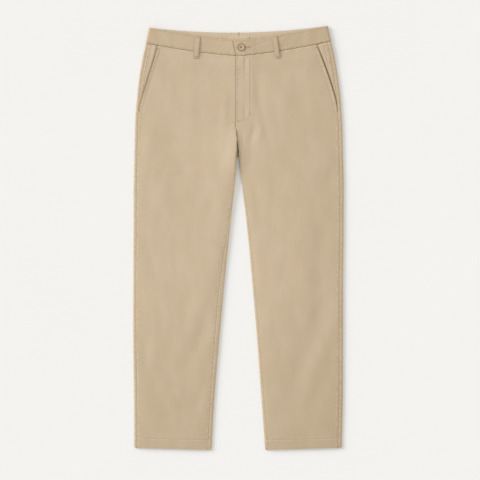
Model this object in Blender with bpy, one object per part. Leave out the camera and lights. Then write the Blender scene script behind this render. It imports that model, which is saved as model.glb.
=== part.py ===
"""Chino trousers lying flat, front up: every cut and sewn piece as its own thin cloth solid.

X runs across the garment (the wearer's left is +X), Y from the hems to the waist, Z up through
the front. All sizes and tables are in millimetres; meshes are written in metres.

How the shape is worked out: at each height a trouser leg, or the seat, is a flattened ring of
cloth. Its underside lies flat, its two ends are tight folds, and its top is slightly lofted.
"Reach" is the distance outwards from the middle of the garment. A panel is a stretch of that
ring, walked from its outer edge inwards, and swept from the hem to the waist seam.
"""

import math
from collections import namedtuple

import bmesh
import bpy
import numpy as np
from mathutils import Matrix, Vector

MM = 0.001

# --- Cloth and seams ---
CLOTH = 1.4                # panel wall
BAND_CLOTH = 1.6           # waistband wall: folded cloth with its stiffener
FACING_CLOTH = 1.0         # strip inside the back waistband
LABEL_CLOTH = 0.7
SEAM_GAP = 0.3             # between neighbours along a seam, and between layers
HALF_GAP = SEAM_GAP / 2
FOLD_EXTRA_GAP = 0.4       # on a tight fold the walls' inner edges are closer than their outer
ON_FOLD = 6.5              # an inseam up to this far round the inner fold is still on the fold
OFF_FOLD = 9.0             # and past this it is on the flat top

# --- Heights above the hems, measured at the side seams ---
WAIST_SEAM = 998.0
BAND_DEPTH = 38.5
WAIST_TOP = WAIST_SEAM + BAND_DEPTH
CROTCH_BACK = 719.0        # where the back legs part
CROTCH_FRONT = 753.0       # where the front legs part
LEG_TOP = 735.0            # up to here the front is lofted as two legs
SEAT_START = 830.0         # from here up it is lofted as one seat
DIP_START = 785.0          # the right front starts to dip towards the fly
ROLL_FLAT = 797.0          # above this the front seam lies flat
FLY_BOTTOM = 803.0
POCKET_BOTTOM = 829.0

# --- How the waist curves when the garment lies flat ---
SAG_START = SEAT_START     # below this the weft lies straight across
FRONT_SAG = 33.0
FRONT_SAG_POWER = 1.4
BACK_SAG = 14.4
BACK_SAG_POWER = 2.05
WAIST_TILT = 2.2           # the left corner of the waist lies this much higher than the middle
WAIST_HALF = 218.0
HEM_LIFT = 5.2             # the hem's outer corner sits this much higher than its inner one
HEM_LIFT_REACH = 150.0

# --- Seams ---
SIDE_WRAP = {"right": 7.0, "left": 10.2}   # the back panel comes round the outer fold by this
POCKET_SLANT_POWER = {"right": 1.0, "left": 1.25}
FACING_UNDER = 25.0        # pocket facing under the front panel
FACING_RISE_START = 1.5
FACING_RISE_END = 10.0
CENTRE_FRONT = 4.5         # the front seam lies this far to the wearer's right of the middle
FLY_EDGE = 5.5
FLY_TAB = 11.0             # the right front runs this far past the middle under the fly
FLY_RAMP = 3.8
FLY_RAMP_SHIFT = 6.0       # below the fly the dip begins this much further out
LAYER_DROP = CLOTH + SEAM_GAP
BAND_DROP = BAND_CLOTH + SEAM_GAP
UNDERLAP_END = 20.0
BAND_END_BOTTOM = 5.5      # the overlapping band's end slants from here at the seam
BAND_END_TOP = 12.9        # to here at the top edge
ROLL_ANGLE = math.radians(118)
ROLL_START = 640.0         # from here the front's inseam edge lifts off the back
ROLL_FULL = 684.0          # and here it is clear of the back's crotch

# --- The raised strip over the fly's layers ---
RISE_CENTRE = 4.0
RISE_WIDTH = 38.0

Section = namedtuple("Section", "height right_outer right_inner left_inner left_outer")
SECTIONS = (
    Section(0, 254.7, 66.5, 66.0, 252.7),
    Section(123, 255.4, 59.4, 56.7, 255.4),
    Section(270, 257.4, 47.2, 45.9, 255.9),
    Section(417, 257.4, 33.7, 33.2, 256.1),
    Section(564, 256.6, 19.0, 19.0, 257.4),
    Section(662, 256.1, 8.5, 6.7, 257.4),
    Section(711, 254.9, 3.8, 1.1, 256.1),
    Section(CROTCH_FRONT, 253.9, CENTRE_FRONT, -3.6, 255.2),
    Section(785, 253.3, CENTRE_FRONT, -CENTRE_FRONT, 254.4),
    Section(824, 251.8, CENTRE_FRONT, -CENTRE_FRONT, 252.4),
    Section(868, 248.0, CENTRE_FRONT, -CENTRE_FRONT, 248.8),
    Section(912, 243.2, CENTRE_FRONT, -CENTRE_FRONT, 243.2),
    Section(956, 235.8, CENTRE_FRONT, -CENTRE_FRONT, 235.8),
    Section(WAIST_SEAM, 226.4, CENTRE_FRONT, -CENTRE_FRONT, 226.4),
    Section(WAIST_TOP, WAIST_HALF, CENTRE_FRONT, -CENTRE_FRONT, WAIST_HALF),
)

# How thick the flattened ring is: the level its underside lies at, its thickness at the folds,
# what its middle adds, and what the fly's layers add.
Depth = namedtuple("Depth", "height rest_level edge loft fly_rise")
DEPTHS = (
    Depth(0, 0.0, 4.4, 0.7, 0.0),
    Depth(60, 0.0, 4.8, 0.8, 0.0),
    Depth(735, 0.0, 4.8, 0.8, 0.0),
    Depth(797, 0.0, 4.8, 0.8, 1.2),
    Depth(940, 0.0, 5.2, 0.7, 1.7),
    Depth(972, 1.3, 5.4, 0.6, 2.2),
    Depth(WAIST_TOP, 1.3, 5.4, 0.6, 2.2),
)

# Where the inseam lies: its distance round the inner fold from the underside.
Inseam = namedtuple("Inseam", "height right left")
INSEAMS = (
    Inseam(0, 12.5, 5.2),
    Inseam(270, 15.5, 5.2),
    Inseam(395, 17.0, 5.2),
    Inseam(527, 10.0, 4.8),
    Inseam(613, 6.0, 4.2),
    Inseam(CROTCH_BACK, 3.1, 3.1),
)

# The slant pockets: reach of the opening's edge at the waist seam.
POCKET_TOP = {"right": 195.9, "left": 189.5}

# The largest folds of the front: a soft ridge (height above 0) or trough along a line.
Fold = namedtuple("Fold", "name start end height width")
FOLDS = (
    Fold("right_hip_ridge", (-204, 858), (-222, 711), 0.8, 15),
    Fold("right_crotch_ridge", (-30, 875), (-30, 800), 0.6, 10),
    Fold("right_thigh_ridge", (-34, 790), (-66, 515), 1.0, 24),
    Fold("right_thigh_trough", (-135, 700), (-152, 576), -0.6, 22),
    Fold("right_knee_ridge", (-79, 478), (-130, 270), 1.0, 24),
    Fold("right_shin_trough", (-72, 339), (-150, 172), -0.9, 20),
    Fold("left_fly_trough", (47, 907), (60, 800), -0.9, 11),
    Fold("left_crotch_trough", (49, 805), (31, 753), -0.8, 9),
    Fold("left_hip_ridge", (90, 895), (83, 772), 0.8, 18),
    Fold("left_inner_trough", (58, 640), (62, 447), -0.8, 14),
    Fold("left_thigh_ridge", (104, 680), (92, 393), 1.0, 26),
    Fold("left_knee_trough", (192, 540), (184, 370), -0.9, 22),
    Fold("left_shin_trough", (180, 350), (84, 62), -1.0, 22),
    Fold("left_shin_ridge", (205, 270), (151, 160), 0.8, 22),
)

# --- Belt loops: middle of the top end and of the bottom end ---
LOOP_WIDTH = 12.0
LOOP_CLOTH = 1.2
LOOP_ARCH = 2.0
LOOP_ARCH_POWER = 0.7      # below 1 the arch is broad in its middle
LOOP_BELOW_SEAM = 17.0
BACK_LOOP_CLOTH = 1.0
Loop = namedtuple("Loop", "name top_x bottom_x")
FRONT_LOOPS = (
    Loop("belt_loop_front_right", -98.6, -104.2),
    Loop("belt_loop_front_left", 88.4, 96.6),
)
BACK_LOOPS = (
    Loop("belt_loop_back_right", -118.0, -120.0),
    Loop("belt_loop_back_centre", 0.0, 0.0),
    Loop("belt_loop_back_left", 118.0, 120.0),
)

# --- Fastenings ---
BUTTON_X = 6.7
BUTTON_HEIGHT = WAIST_SEAM + 20.1
BUTTON_RADIUS = 9.0
BUTTON_THICK = 2.6
BUTTON_RIM = 1.6
BUTTON_SIDE_LOW = 0.9      # the edge is upright between these two levels
BUTTON_SIDE_HIGH = 1.8
BUTTON_DISH = 0.7
BUTTON_DISH_SLOPE = 0.8
BUTTON_HOLE_RADIUS = 0.9
BUTTON_HOLE_OFFSET = 1.7
SHANK_RADIUS = 1.5
BUTTONHOLE_END = 30.0
BUTTONHOLE_WIDTH = 1.2
BUTTONHOLE_EYE = 2.4
ROUND_STEPS = 28
SHANK_STEPS = 16
HOLE_STEPS = 12
WELD = 0.001               # points closer than this are one
ZIP_MIDDLE = 14.6
ZIP_TAPE_WIDTH = 25.0
ZIP_TAPE_THICK = 0.9
ZIP_CHAIN_WIDTH = 5.0
ZIP_BOTTOM = 815.0
ZIP_STOP = 962.0
ZIP_SLIDER_TOP = 974.0
ZIP_TOP = 992.0
SLIDER_WIDTH = 6.6

# --- The strip inside the back waistband, and the bare label on it ---
FACING_MARGIN = 6.0
FACING_TOP_MARGIN = 0.8
LABEL_LEFT_X = -21.0
LABEL_RIGHT_X = 27.5
LABEL_BOTTOM = 1013.0
LABEL_TOP = 1027.0

Paint = namedtuple("Paint", "colour roughness metallic")
PAINTS = {
    "twill": Paint((0.57, 0.457, 0.309), 0.9, 0.0),
    "facing": Paint((0.65, 0.53, 0.40), 0.9, 0.0),
    "label": Paint((0.70, 0.60, 0.46), 0.85, 0.0),
    "button": Paint((0.52, 0.39, 0.27), 0.45, 0.0),
    "thread": Paint((0.42, 0.33, 0.22), 0.8, 0.0),
    "tape": Paint((0.50, 0.40, 0.28), 0.9, 0.0),
    "brass": Paint((0.60, 0.45, 0.22), 0.35, 1.0),
}

# The heights at which the panels have a row of points.
PANEL_ROWS = (
    0, 40, 123, 200, 270, 345, 417, 490, 564, 620, 662, 684, 703, CROTCH_BACK, 733,
    CROTCH_FRONT, 770, 785, ROLL_FLAT, FLY_BOTTOM, POCKET_BOTTOM, 870, 912, 940, 972, 985,
    WAIST_SEAM - HALF_GAP,
)
POCKET_ROWS = (POCKET_BOTTOM + 4, 870, 912, 940, 972, 985, WAIST_SEAM - HALF_GAP)
BAND_ROWS = (WAIST_SEAM + HALF_GAP, 1011, 1024, WAIST_TOP)

# How many steps each stretch of a panel is divided into.
WRAP_STEPS = 1
FOLD_STEPS = 4
TOP_STEPS = 11
UNDER_STEPS = 5
RAMP_STEPS = 2
TAIL_STEPS = 3
TAIL = 8.0
TAPER_POWER = 1.6          # how quickly the last steps of a panel shorten
FACING_STEPS = 6
STRIP_STEPS = 3            # across a loop, tape or chain, and up the facing
LABEL_STEPS = 5
ZIP_STEPS = 9
LOOP_STEPS = 8
SHARP_ANGLE = 40           # degrees; flatter edges are shaded smooth

SIGN = {"right": -1, "left": 1}


# ---------------------------------------------------------------- reading the tables

def read(table, name, height):
    """One column of a table, at a height between its rows."""
    heights = [row.height for row in table]
    values = [getattr(row, name) for row in table]
    return float(np.interp(height, heights, values))


def ease(value, start, end):
    """0 before start, 1 after end, and a smooth step between them."""
    t = min(max((value - start) / (end - start), 0.0), 1.0)
    return t * t * (3 - 2 * t)


def outer(side, height):
    return read(SECTIONS, side + "_outer", height)


def inner(side, height):
    return read(SECTIONS, side + "_inner", height)


def fold_radius(height):
    return read(DEPTHS, "edge", height) / 2


def rest_level(height):
    return read(DEPTHS, "rest_level", height)


# ---------------------------------------------------------------- the lay of the cloth

def fold_relief(x, y):
    """What the folds add to the top surface at one place."""
    total = 0.0
    for fold in FOLDS:
        start = np.array(fold.start)
        run = np.array(fold.end) - start
        length = float(np.hypot(*run))
        along = float(np.dot((x, y) - start, run)) / length
        away = abs(float(run[0] * (y - start[1]) - run[1] * (x - start[0]))) / length
        past_end = max(-along, along - length, 0.0)
        spread = (away / fold.width) ** 2 + (past_end / (2 * fold.width)) ** 2
        total += fold.height * math.exp(-spread)
    return total


def top_level(side, height, reach):
    """Level of the front's outer surface."""
    radius = fold_radius(height)
    first = outer(side, height) - radius
    last = inner(side, height) + radius
    share = min(max((first - reach) / (first - last), 0.0), 1.0)
    in_leg = 1 - ease(height, LEG_TOP, SEAT_START)
    fullness = 1 - max(0.0, 1 - 2 * share) ** 4
    fullness *= 1 - in_leg * max(0.0, 2 * share - 1) ** 4
    x = SIGN[side] * reach
    level = rest_level(height) + 2 * radius
    level += fullness * (read(DEPTHS, "loft", height) + fold_relief(x, height))
    rise = math.exp(-((x - RISE_CENTRE) / RISE_WIDTH) ** 2)
    return level + read(DEPTHS, "fly_rise", height) * rise


def lay(side, height, reach, level, on_front):
    """A place on the ring, with the waist's curve and the hem's slope."""
    x = SIGN[side] * reach
    width = outer(side, height)
    share = min(abs(x) / width, 1.0)
    if on_front:
        sag = FRONT_SAG * (1 - share ** FRONT_SAG_POWER)
    else:
        sag = BACK_SAG * (1 - share ** BACK_SAG_POWER)
    settle = ease(height, SAG_START, WAIST_SEAM)
    y = height + settle * (WAIST_TILT * x / WAIST_HALF - sag)
    lift = max(0.0, 1 - height / HEM_LIFT_REACH)
    if lift:
        leg_width = width - inner(side, height)
        y += HEM_LIFT * lift * (reach - inner(side, height)) / leg_width
    return Vector((x, y, level)) * MM


def pocket_edge(side, height):
    """Reach of the front panel's outer edge: the side seam, or the pocket opening above it."""
    seam = outer(side, height) - SIDE_WRAP[side]
    if height <= POCKET_BOTTOM:
        return seam
    start = outer(side, POCKET_BOTTOM) - SIDE_WRAP[side]
    up = (height - POCKET_BOTTOM) / (WAIST_SEAM - POCKET_BOTTOM)
    return min(seam, start - (start - POCKET_TOP[side]) * up ** POCKET_SLANT_POWER[side])


# ---------------------------------------------------------------- walking round a ring

def spaced(*stretches):
    """Distances along a panel: each stretch is (end, steps), and the first starts at 0."""
    distances = [0.0]
    for end, steps in stretches:
        start = distances[-1]
        distances += [start + (end - start) * (i + 1) / steps for i in range(steps)]
    return distances


def tapering(distances, end, steps):
    """A last stretch whose steps shorten, so that its end looks straight along the cloth."""
    start = distances[-1]
    length = end - start
    left = [(1 - (i + 1) / steps) ** TAPER_POWER for i in range(steps)]
    return distances + [end - length * share for share in left]


def walk_back(side, height, distance, from_reach, in_leg=False):
    """From a start on the top, outwards, round the outer fold and inwards underneath.

    The walk stops at the centre back, or in a leg goes on round the inner fold and outwards
    again on the top.
    """
    radius = fold_radius(height)
    base = rest_level(height)
    turn = outer(side, height) - radius
    half_turn = math.pi * radius
    underneath = turn - inner(side, height) - radius
    run = turn - from_reach
    if distance <= run:
        reach = from_reach + distance
        return lay(side, height, reach, top_level(side, height, reach), True)
    distance -= run
    if distance <= half_turn:
        angle = math.pi / 2 - distance / radius
        reach = turn + radius * math.cos(angle)
        return lay(side, height, reach, base + radius + radius * math.sin(angle), angle > 0)
    distance -= half_turn
    if distance <= underneath or not in_leg:
        return lay(side, height, turn - distance, base, False)
    distance -= underneath
    centre = inner(side, height) + radius
    if distance <= half_turn:
        angle = distance / radius
        reach = centre - radius * math.sin(angle)
        return lay(side, height, reach, base + radius - radius * math.cos(angle), False)
    reach = centre + distance - half_turn
    return lay(side, height, reach, top_level(side, height, reach), True)


def inseam(side, height):
    """The inseam's distance round the inner fold, and half the gap that the panels keep there."""
    length = read(INSEAMS, side, height)
    on_fold = 1 - ease(length, ON_FOLD, OFF_FOLD)
    return length, HALF_GAP + FOLD_EXTRA_GAP * on_fold


def back_row(side, height):
    """One row of a back panel, from the side seam to the inseam or the centre back."""
    radius = fold_radius(height)
    turn = outer(side, height) - radius
    start = outer(side, height) - SIDE_WRAP[side] + HALF_GAP
    after_wrap = turn - start
    after_fold = after_wrap + math.pi * radius
    in_leg = height <= CROTCH_BACK
    if in_leg:
        length, half_gap = inseam(side, height)
        tail_start = after_fold + turn - inner(side, height) - radius
        end = tail_start + length - half_gap
    else:
        end = after_fold + turn - HALF_GAP
        tail_start = end - TAIL
    steps = spaced((after_wrap, WRAP_STEPS), (after_fold, FOLD_STEPS), (tail_start, UNDER_STEPS))
    steps = tapering(steps, end, RAMP_STEPS + TAIL_STEPS)
    return [walk_back(side, height, s, start, in_leg) for s in steps]


def ramp_end(height):
    """Reach at which the right front is fully down to its level under the fly."""
    return FLY_EDGE + 3 * SEAM_GAP + FLY_RAMP_SHIFT * (1 - ease(height, ROLL_FLAT, FLY_BOTTOM))


def fly_drop(side, height, reach):
    """How far the right front dips to pass under the left one at the fly."""
    if side == "left":
        return 0.0
    across = 1 - ease(reach, ramp_end(height), ramp_end(height) + FLY_RAMP)
    return LAYER_DROP * across * ease(height, DIP_START, ROLL_FLAT)


def front_row(side, height):
    """One row of a front panel, from the side seam or pocket edge to the centre or inseam."""
    radius = fold_radius(height)
    start = pocket_edge(side, height) - HALF_GAP
    seam = inner(side, height)
    if height < CROTCH_FRONT:
        length, half_gap = inseam(side, height)
        around = max(length + half_gap,
                     ROLL_ANGLE * radius * ease(height, ROLL_START, ROLL_FULL))
        angle = around / radius
        centre = seam + radius
    else:
        angle = ROLL_ANGLE + (math.pi - ROLL_ANGLE) * ease(height, CROTCH_FRONT, ROLL_FLAT)
        centre = seam + HALF_GAP + radius * math.sin(angle)
    if height >= FLY_BOTTOM:
        centre = -FLY_TAB if side == "right" else -FLY_EDGE
    arc = max(0.0, (math.pi - angle) * radius)
    top_end = centre + max(0.0, angle - math.pi) * radius
    end = start - top_end + arc
    if side == "right" and height >= ROLL_FLAT:
        ramp_start = start - ramp_end(height) - FLY_RAMP
        steps = spaced((ramp_start, TOP_STEPS), (ramp_start + FLY_RAMP, RAMP_STEPS),
                       (end, TAIL_STEPS))
    else:
        tail_start = min(end - TAIL, start - top_end - TAIL / 8)
        steps = tapering(spaced((tail_start, TOP_STEPS)), end, RAMP_STEPS + TAIL_STEPS)
    points = []
    for s in steps:
        if s <= start - top_end:
            reach = start - s
            level = top_level(side, height, reach) - fly_drop(side, height, reach)
            points.append(lay(side, height, reach, level, True))
        else:
            turned = (s - (start - top_end)) / radius
            reach = centre - radius * math.sin(turned)
            level = top_level(side, height, centre) - fly_drop(side, height, centre)
            points.append(lay(side, height, reach, level - radius * (1 - math.cos(turned)), True))
    return points


def pocket_row(side, height):
    """One row of a pocket facing: level with the side seam, dropping under the front panel."""
    edge = pocket_edge(side, height)
    start = outer(side, height) - SIDE_WRAP[side] - HALF_GAP
    end = edge - FACING_UNDER
    under = min(edge + FACING_RISE_START, start - FACING_RISE_START)
    points = []
    for distance in spaced((start - under, FACING_STEPS // 2), (start - end, FACING_STEPS // 2)):
        reach = start - distance
        drop = LAYER_DROP * (1 - ease(reach - edge, FACING_RISE_START, FACING_RISE_END))
        points.append(lay(side, height, reach, top_level(side, height, reach) - drop, True))
    return points


def band_end(height):
    """Where the overlapping waistband ends, past the middle."""
    up = (height - WAIST_SEAM) / BAND_DEPTH
    return BAND_END_BOTTOM + (BAND_END_TOP - BAND_END_BOTTOM) * ease(up, -0.2, 1.2)


def band_row(side, height):
    """One row of a waistband half, from the centre front round the side to the centre back."""
    radius = fold_radius(height)
    turn = outer(side, height) - radius
    end = band_end(height)
    start = -end if side == "left" else -UNDERLAP_END
    down = end + 3 * SEAM_GAP
    up = down + FLY_RAMP
    after_top = turn - start
    after_fold = after_top + math.pi * radius
    end_back = after_fold + turn - HALF_GAP
    steps = spaced((down - start, TAIL_STEPS), (up - start, RAMP_STEPS), (after_top, TOP_STEPS),
                   (after_fold, FOLD_STEPS), (end_back, UNDER_STEPS))
    points = []
    for s in steps:
        point = walk_back(side, height, s, start)
        if side == "right" and s < after_top:
            point.z -= BAND_DROP * (1 - ease(start + s, down, up)) * MM
        points.append(point)
    return points


# ---------------------------------------------------------------- turning rows into solids

def paint(name):
    material = bpy.data.materials.get(name)
    if material is None:
        look = PAINTS[name]
        material = bpy.data.materials.new(name)
        material.use_nodes = True
        shader = material.node_tree.nodes["Principled BSDF"]
        shader.inputs["Base Color"].default_value = (*look.colour, 1.0)
        shader.inputs["Roughness"].default_value = look.roughness
        shader.inputs["Metallic"].default_value = look.metallic
    return material


def place(name, bm, paint_name):
    """A named object from a bmesh, with its material."""
    mesh = bpy.data.meshes.new(name)
    bm.to_mesh(mesh)
    bm.free()
    mesh.shade_smooth()
    mesh.set_sharp_from_angle(angle=math.radians(SHARP_ANGLE))
    thing = bpy.data.objects.new(name, mesh)
    bpy.context.scene.collection.objects.link(thing)
    thing.data.materials.append(paint(paint_name))
    return thing


def cloth(name, rows, thickness, paint_name):
    """A cloth wall whose outer surface passes through rows of points.

    Every row starts on the garment's top, so the face at the first point looks up.
    """
    bm = bmesh.new()
    across = len(rows[0]) - 1
    along = len(rows) - 1
    bmesh.ops.create_grid(bm, x_segments=across, y_segments=along, size=0.5)
    for vert in bm.verts:
        column = round((vert.co.x + 0.5) * across)
        row = round((vert.co.y + 0.5) * along)
        vert.co = rows[row][column]
    bm.normal_update()
    first = min(bm.faces, key=lambda face: (face.calc_center_median() - rows[0][0]).length)
    if first.normal.z < 0:
        bmesh.ops.reverse_faces(bm, faces=bm.faces)
    thing = place(name, bm, paint_name)
    wall = thing.modifiers.new("wall", "SOLIDIFY")
    wall.thickness = thickness * MM
    wall.offset = -1.0
    wall.use_even_offset = True
    return thing


def panels():
    """The four leg panels and the two pocket facings."""
    for side in ("right", "left"):
        backs = [back_row(side, height) for height in PANEL_ROWS]
        cloth("back_" + side, backs, CLOTH, "twill")
        fronts = [front_row(side, height) for height in PANEL_ROWS]
        cloth("front_" + side, fronts, CLOTH, "twill")
        pockets = [pocket_row(side, height) for height in POCKET_ROWS]
        cloth("pocket_facing_" + side, pockets, CLOTH, "twill")


def waistband():
    """Both halves of the waistband; the left half gets the buttonhole."""
    for side in ("right", "left"):
        rows = [band_row(side, height) for height in BAND_ROWS]
        band = cloth("waistband_" + side, rows, BAND_CLOTH, "twill")
        if side == "left":
            cut = band.modifiers.new("buttonhole", "BOOLEAN")
            cut.operation = "DIFFERENCE"
            cut.solver = "EXACT"
            cut.object = buttonhole_cutter()


def buttonhole_cutter():
    """A keyhole: a round eye under the button, and a slot towards the side."""
    middle = lay("left", BUTTON_HEIGHT, BUTTON_X, top_level("left", BUTTON_HEIGHT, BUTTON_X), True)
    tall = 4 * BAND_CLOTH * MM
    bm = bmesh.new()
    length = (BUTTONHOLE_END - BUTTON_X) * MM
    shape = Matrix.Translation(middle + Vector((length / 2, 0, 0)))
    shape @= Matrix.Diagonal((length, BUTTONHOLE_WIDTH * MM, tall, 1))
    bmesh.ops.create_cube(bm, size=1, matrix=shape)
    eye = bmesh.new()
    bmesh.ops.create_cone(eye, cap_ends=True, segments=SHANK_STEPS, radius1=BUTTONHOLE_EYE * MM,
                          radius2=BUTTONHOLE_EYE * MM, depth=tall,
                          matrix=Matrix.Translation(middle))
    slot = place("buttonhole_slot", bm, "twill")
    round_eye = place("buttonhole_eye", eye, "twill")
    join = slot.modifiers.new("eye", "BOOLEAN")
    join.operation = "UNION"
    join.solver = "EXACT"
    join.object = round_eye
    for guide in (slot, round_eye):
        guide.hide_render = True
        guide.display_type = "WIRE"
    return slot


def band_facing():
    """The lighter strip inside the back waistband, seen above the front one."""
    heights = np.linspace(WAIST_SEAM + 2, WAIST_TOP - FACING_TOP_MARGIN, STRIP_STEPS + 1)
    rows = []
    for height in heights:
        level = rest_level(height) + BAND_CLOTH + SEAM_GAP + FACING_CLOTH
        half = outer("left", height) - FACING_MARGIN
        row = []
        for x in np.linspace(-half, half, 2 * FACING_STEPS + 1):
            side = "left" if x > 0 else "right"
            row.append(lay(side, height, abs(x), level, False))
        rows.append(row)
    cloth("waistband_facing", rows, FACING_CLOTH, "facing")


def bare_label():
    """The plain patch on the facing, with nothing written on it."""
    rows = []
    for height in (LABEL_BOTTOM, LABEL_TOP):
        level = rest_level(height) + BAND_CLOTH + 2 * SEAM_GAP + FACING_CLOTH + LABEL_CLOTH
        row = []
        for x in np.linspace(LABEL_LEFT_X, LABEL_RIGHT_X, LABEL_STEPS + 1):
            side = "left" if x > 0 else "right"
            row.append(lay(side, height, abs(x), level, False))
        rows.append(row)
    cloth("label_bare", rows, LABEL_CLOTH, "label")


def zip_strip(name, width, drop, heights, thickness, paint_name):
    """A strip under the fly, a fixed drop below the front's surface."""
    rows = []
    for height in heights:
        row = []
        edges = (ZIP_MIDDLE - width / 2, ZIP_MIDDLE + width / 2)
        for reach in np.linspace(*edges, STRIP_STEPS + 1):
            level = top_level("left", height, reach) - drop
            row.append(lay("left", height, reach, level, True))
        rows.append(row)
    cloth(name, rows, thickness, paint_name)


def zip_pieces():
    """Tape, closed chain and slider, all hidden under the fly."""
    below_fly = CLOTH + SEAM_GAP
    tape_drop = 2 * LAYER_DROP + SEAM_GAP
    chain_thick = tape_drop - SEAM_GAP - below_fly
    tape_heights = np.linspace(ZIP_BOTTOM, ZIP_TOP, ZIP_STEPS + 1)
    chain_heights = np.linspace(ZIP_BOTTOM, ZIP_STOP, ZIP_STEPS)
    slider_heights = (ZIP_STOP + SEAM_GAP, ZIP_SLIDER_TOP)
    zip_strip("zip_tape", ZIP_TAPE_WIDTH, tape_drop, tape_heights, ZIP_TAPE_THICK, "tape")
    zip_strip("zip_chain", ZIP_CHAIN_WIDTH, below_fly, chain_heights, chain_thick, "brass")
    zip_strip("zip_slider", SLIDER_WIDTH, below_fly, slider_heights, chain_thick, "brass")


def belt_loop(loop, on_front):
    """A strip from the waist's top edge to below the seam, arched over its belt space."""
    bottom = WAIST_SEAM - LOOP_BELOW_SEAM
    rows = []
    steps = LOOP_STEPS if on_front else RAMP_STEPS
    for t in np.linspace(0, 1, steps + 1):
        height = bottom + (WAIST_TOP - bottom) * t
        middle = loop.bottom_x + (loop.top_x - loop.bottom_x) * t
        row = []
        edges = (middle - LOOP_WIDTH / 2, middle + LOOP_WIDTH / 2)
        for x in np.linspace(*edges, STRIP_STEPS + 1):
            side = "left" if x > 0 else "right"
            if on_front:
                level = top_level(side, height, abs(x)) + SEAM_GAP + LOOP_CLOTH
                level += LOOP_ARCH * math.sin(math.pi * t) ** LOOP_ARCH_POWER
            else:
                level = BACK_LOOP_CLOTH
            row.append(lay(side, height, abs(x), level, on_front))
        rows.append(row)
    thickness = LOOP_CLOTH if on_front else BACK_LOOP_CLOTH
    cloth(loop.name, rows, thickness, "twill")


def button():
    """A dished four-hole button over the buttonhole, on a thread shank."""
    surface = top_level("left", BUTTON_HEIGHT, BUTTON_X)
    middle = lay("left", BUTTON_HEIGHT, BUTTON_X, surface + SEAM_GAP, True)
    rim_inner = BUTTON_RADIUS - BUTTON_RIM
    floor = BUTTON_THICK - BUTTON_DISH
    profile = (
        (0, 0),
        (BUTTON_RADIUS - BUTTON_SIDE_LOW, 0),
        (BUTTON_RADIUS, BUTTON_SIDE_LOW),
        (BUTTON_RADIUS, BUTTON_SIDE_HIGH),
        (BUTTON_RADIUS - BUTTON_THICK + BUTTON_SIDE_HIGH, BUTTON_THICK),
        (rim_inner, BUTTON_THICK),
        (rim_inner - BUTTON_DISH_SLOPE, floor),
        (0, floor),
    )
    bm = bmesh.new()
    verts = [bm.verts.new((radius * MM, 0, level * MM)) for radius, level in profile]
    edges = [bm.edges.new(pair) for pair in zip(verts, verts[1:])]
    bmesh.ops.spin(bm, geom=verts + edges, cent=(0, 0, 0), axis=(0, 0, 1), dvec=(0, 0, 0),
                   angle=math.tau, steps=ROUND_STEPS, use_merge=True)
    bmesh.ops.remove_doubles(bm, verts=bm.verts, dist=WELD * MM)
    bmesh.ops.recalc_face_normals(bm, faces=bm.faces)
    bmesh.ops.translate(bm, verts=bm.verts, vec=middle)
    disc = place("button", bm, "button")
    for i, (right, up) in enumerate(((1, 1), (-1, 1), (-1, -1), (1, -1))):
        drill = bmesh.new()
        centre = middle + Vector((right, up, 0)) * BUTTON_HOLE_OFFSET * MM
        bmesh.ops.create_cone(drill, cap_ends=True, segments=HOLE_STEPS, depth=4 * BUTTON_THICK * MM,
                              radius1=BUTTON_HOLE_RADIUS * MM, radius2=BUTTON_HOLE_RADIUS * MM,
                              matrix=Matrix.Translation(centre))
        guide = place("button_hole_%d" % i, drill, "button")
        guide.hide_render = True
        guide.display_type = "WIRE"
        cut = disc.modifiers.new("hole", "BOOLEAN")
        cut.operation = "DIFFERENCE"
        cut.solver = "EXACT"
        cut.object = guide
    button_shank(middle)


def button_shank(button_base):
    """The thread from under the button down to the underlap, through the buttonhole's eye."""
    top = button_base.z - SEAM_GAP * MM
    bottom = button_base.z - BAND_DROP * MM
    middle = Vector((button_base.x, button_base.y, (top + bottom) / 2))
    bm = bmesh.new()
    bmesh.ops.create_cone(bm, cap_ends=True, segments=SHANK_STEPS, depth=top - bottom,
                          radius1=SHANK_RADIUS * MM, radius2=SHANK_RADIUS * MM,
                          matrix=Matrix.Translation(middle))
    place("button_shank", bm, "thread")


def centre_on_floor():
    """Move every mesh so that the origin is under the middle of the garment."""
    low = Vector((math.inf, math.inf, math.inf))
    high = Vector((-math.inf, -math.inf, -math.inf))
    graph = bpy.context.evaluated_depsgraph_get()
    for thing in bpy.context.scene.objects:
        if thing.hide_render:
            continue
        shown = thing.evaluated_get(graph).to_mesh()
        for vert in shown.vertices:
            for axis in range(3):
                low[axis] = min(low[axis], vert.co[axis])
                high[axis] = max(high[axis], vert.co[axis])
    shift = Vector((-(low.x + high.x) / 2, -(low.y + high.y) / 2, -low.z))
    for thing in bpy.context.scene.objects:
        thing.data.transform(Matrix.Translation(shift))
    print("size in mm:", [round(value / MM, 2) for value in high - low])
    print("moved by mm:", [round(value / MM, 3) for value in shift])


def main():
    for thing in list(bpy.data.objects):
        bpy.data.objects.remove(thing, do_unlink=True)
    panels()
    waistband()
    band_facing()
    bare_label()
    zip_pieces()
    for loop in FRONT_LOOPS:
        belt_loop(loop, on_front=True)
    for loop in BACK_LOOPS:
        belt_loop(loop, on_front=False)
    button()
    centre_on_floor()


main()
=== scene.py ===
# %% [markdown]
# # Chino trousers, laid flat
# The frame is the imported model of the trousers: one plain solid for each cut piece. This lesson
# puts real cloth in its place. Everything is worked out in millimetres: x runs to the wearer's
# left, y up from the hems, z up through the front. Meshes are written in metres.

# %% Load the frame
import math
from collections import namedtuple

import bmesh
import bpy
import numpy as np
from mathutils import Matrix, Vector
from mathutils.bvhtree import BVHTree


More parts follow.
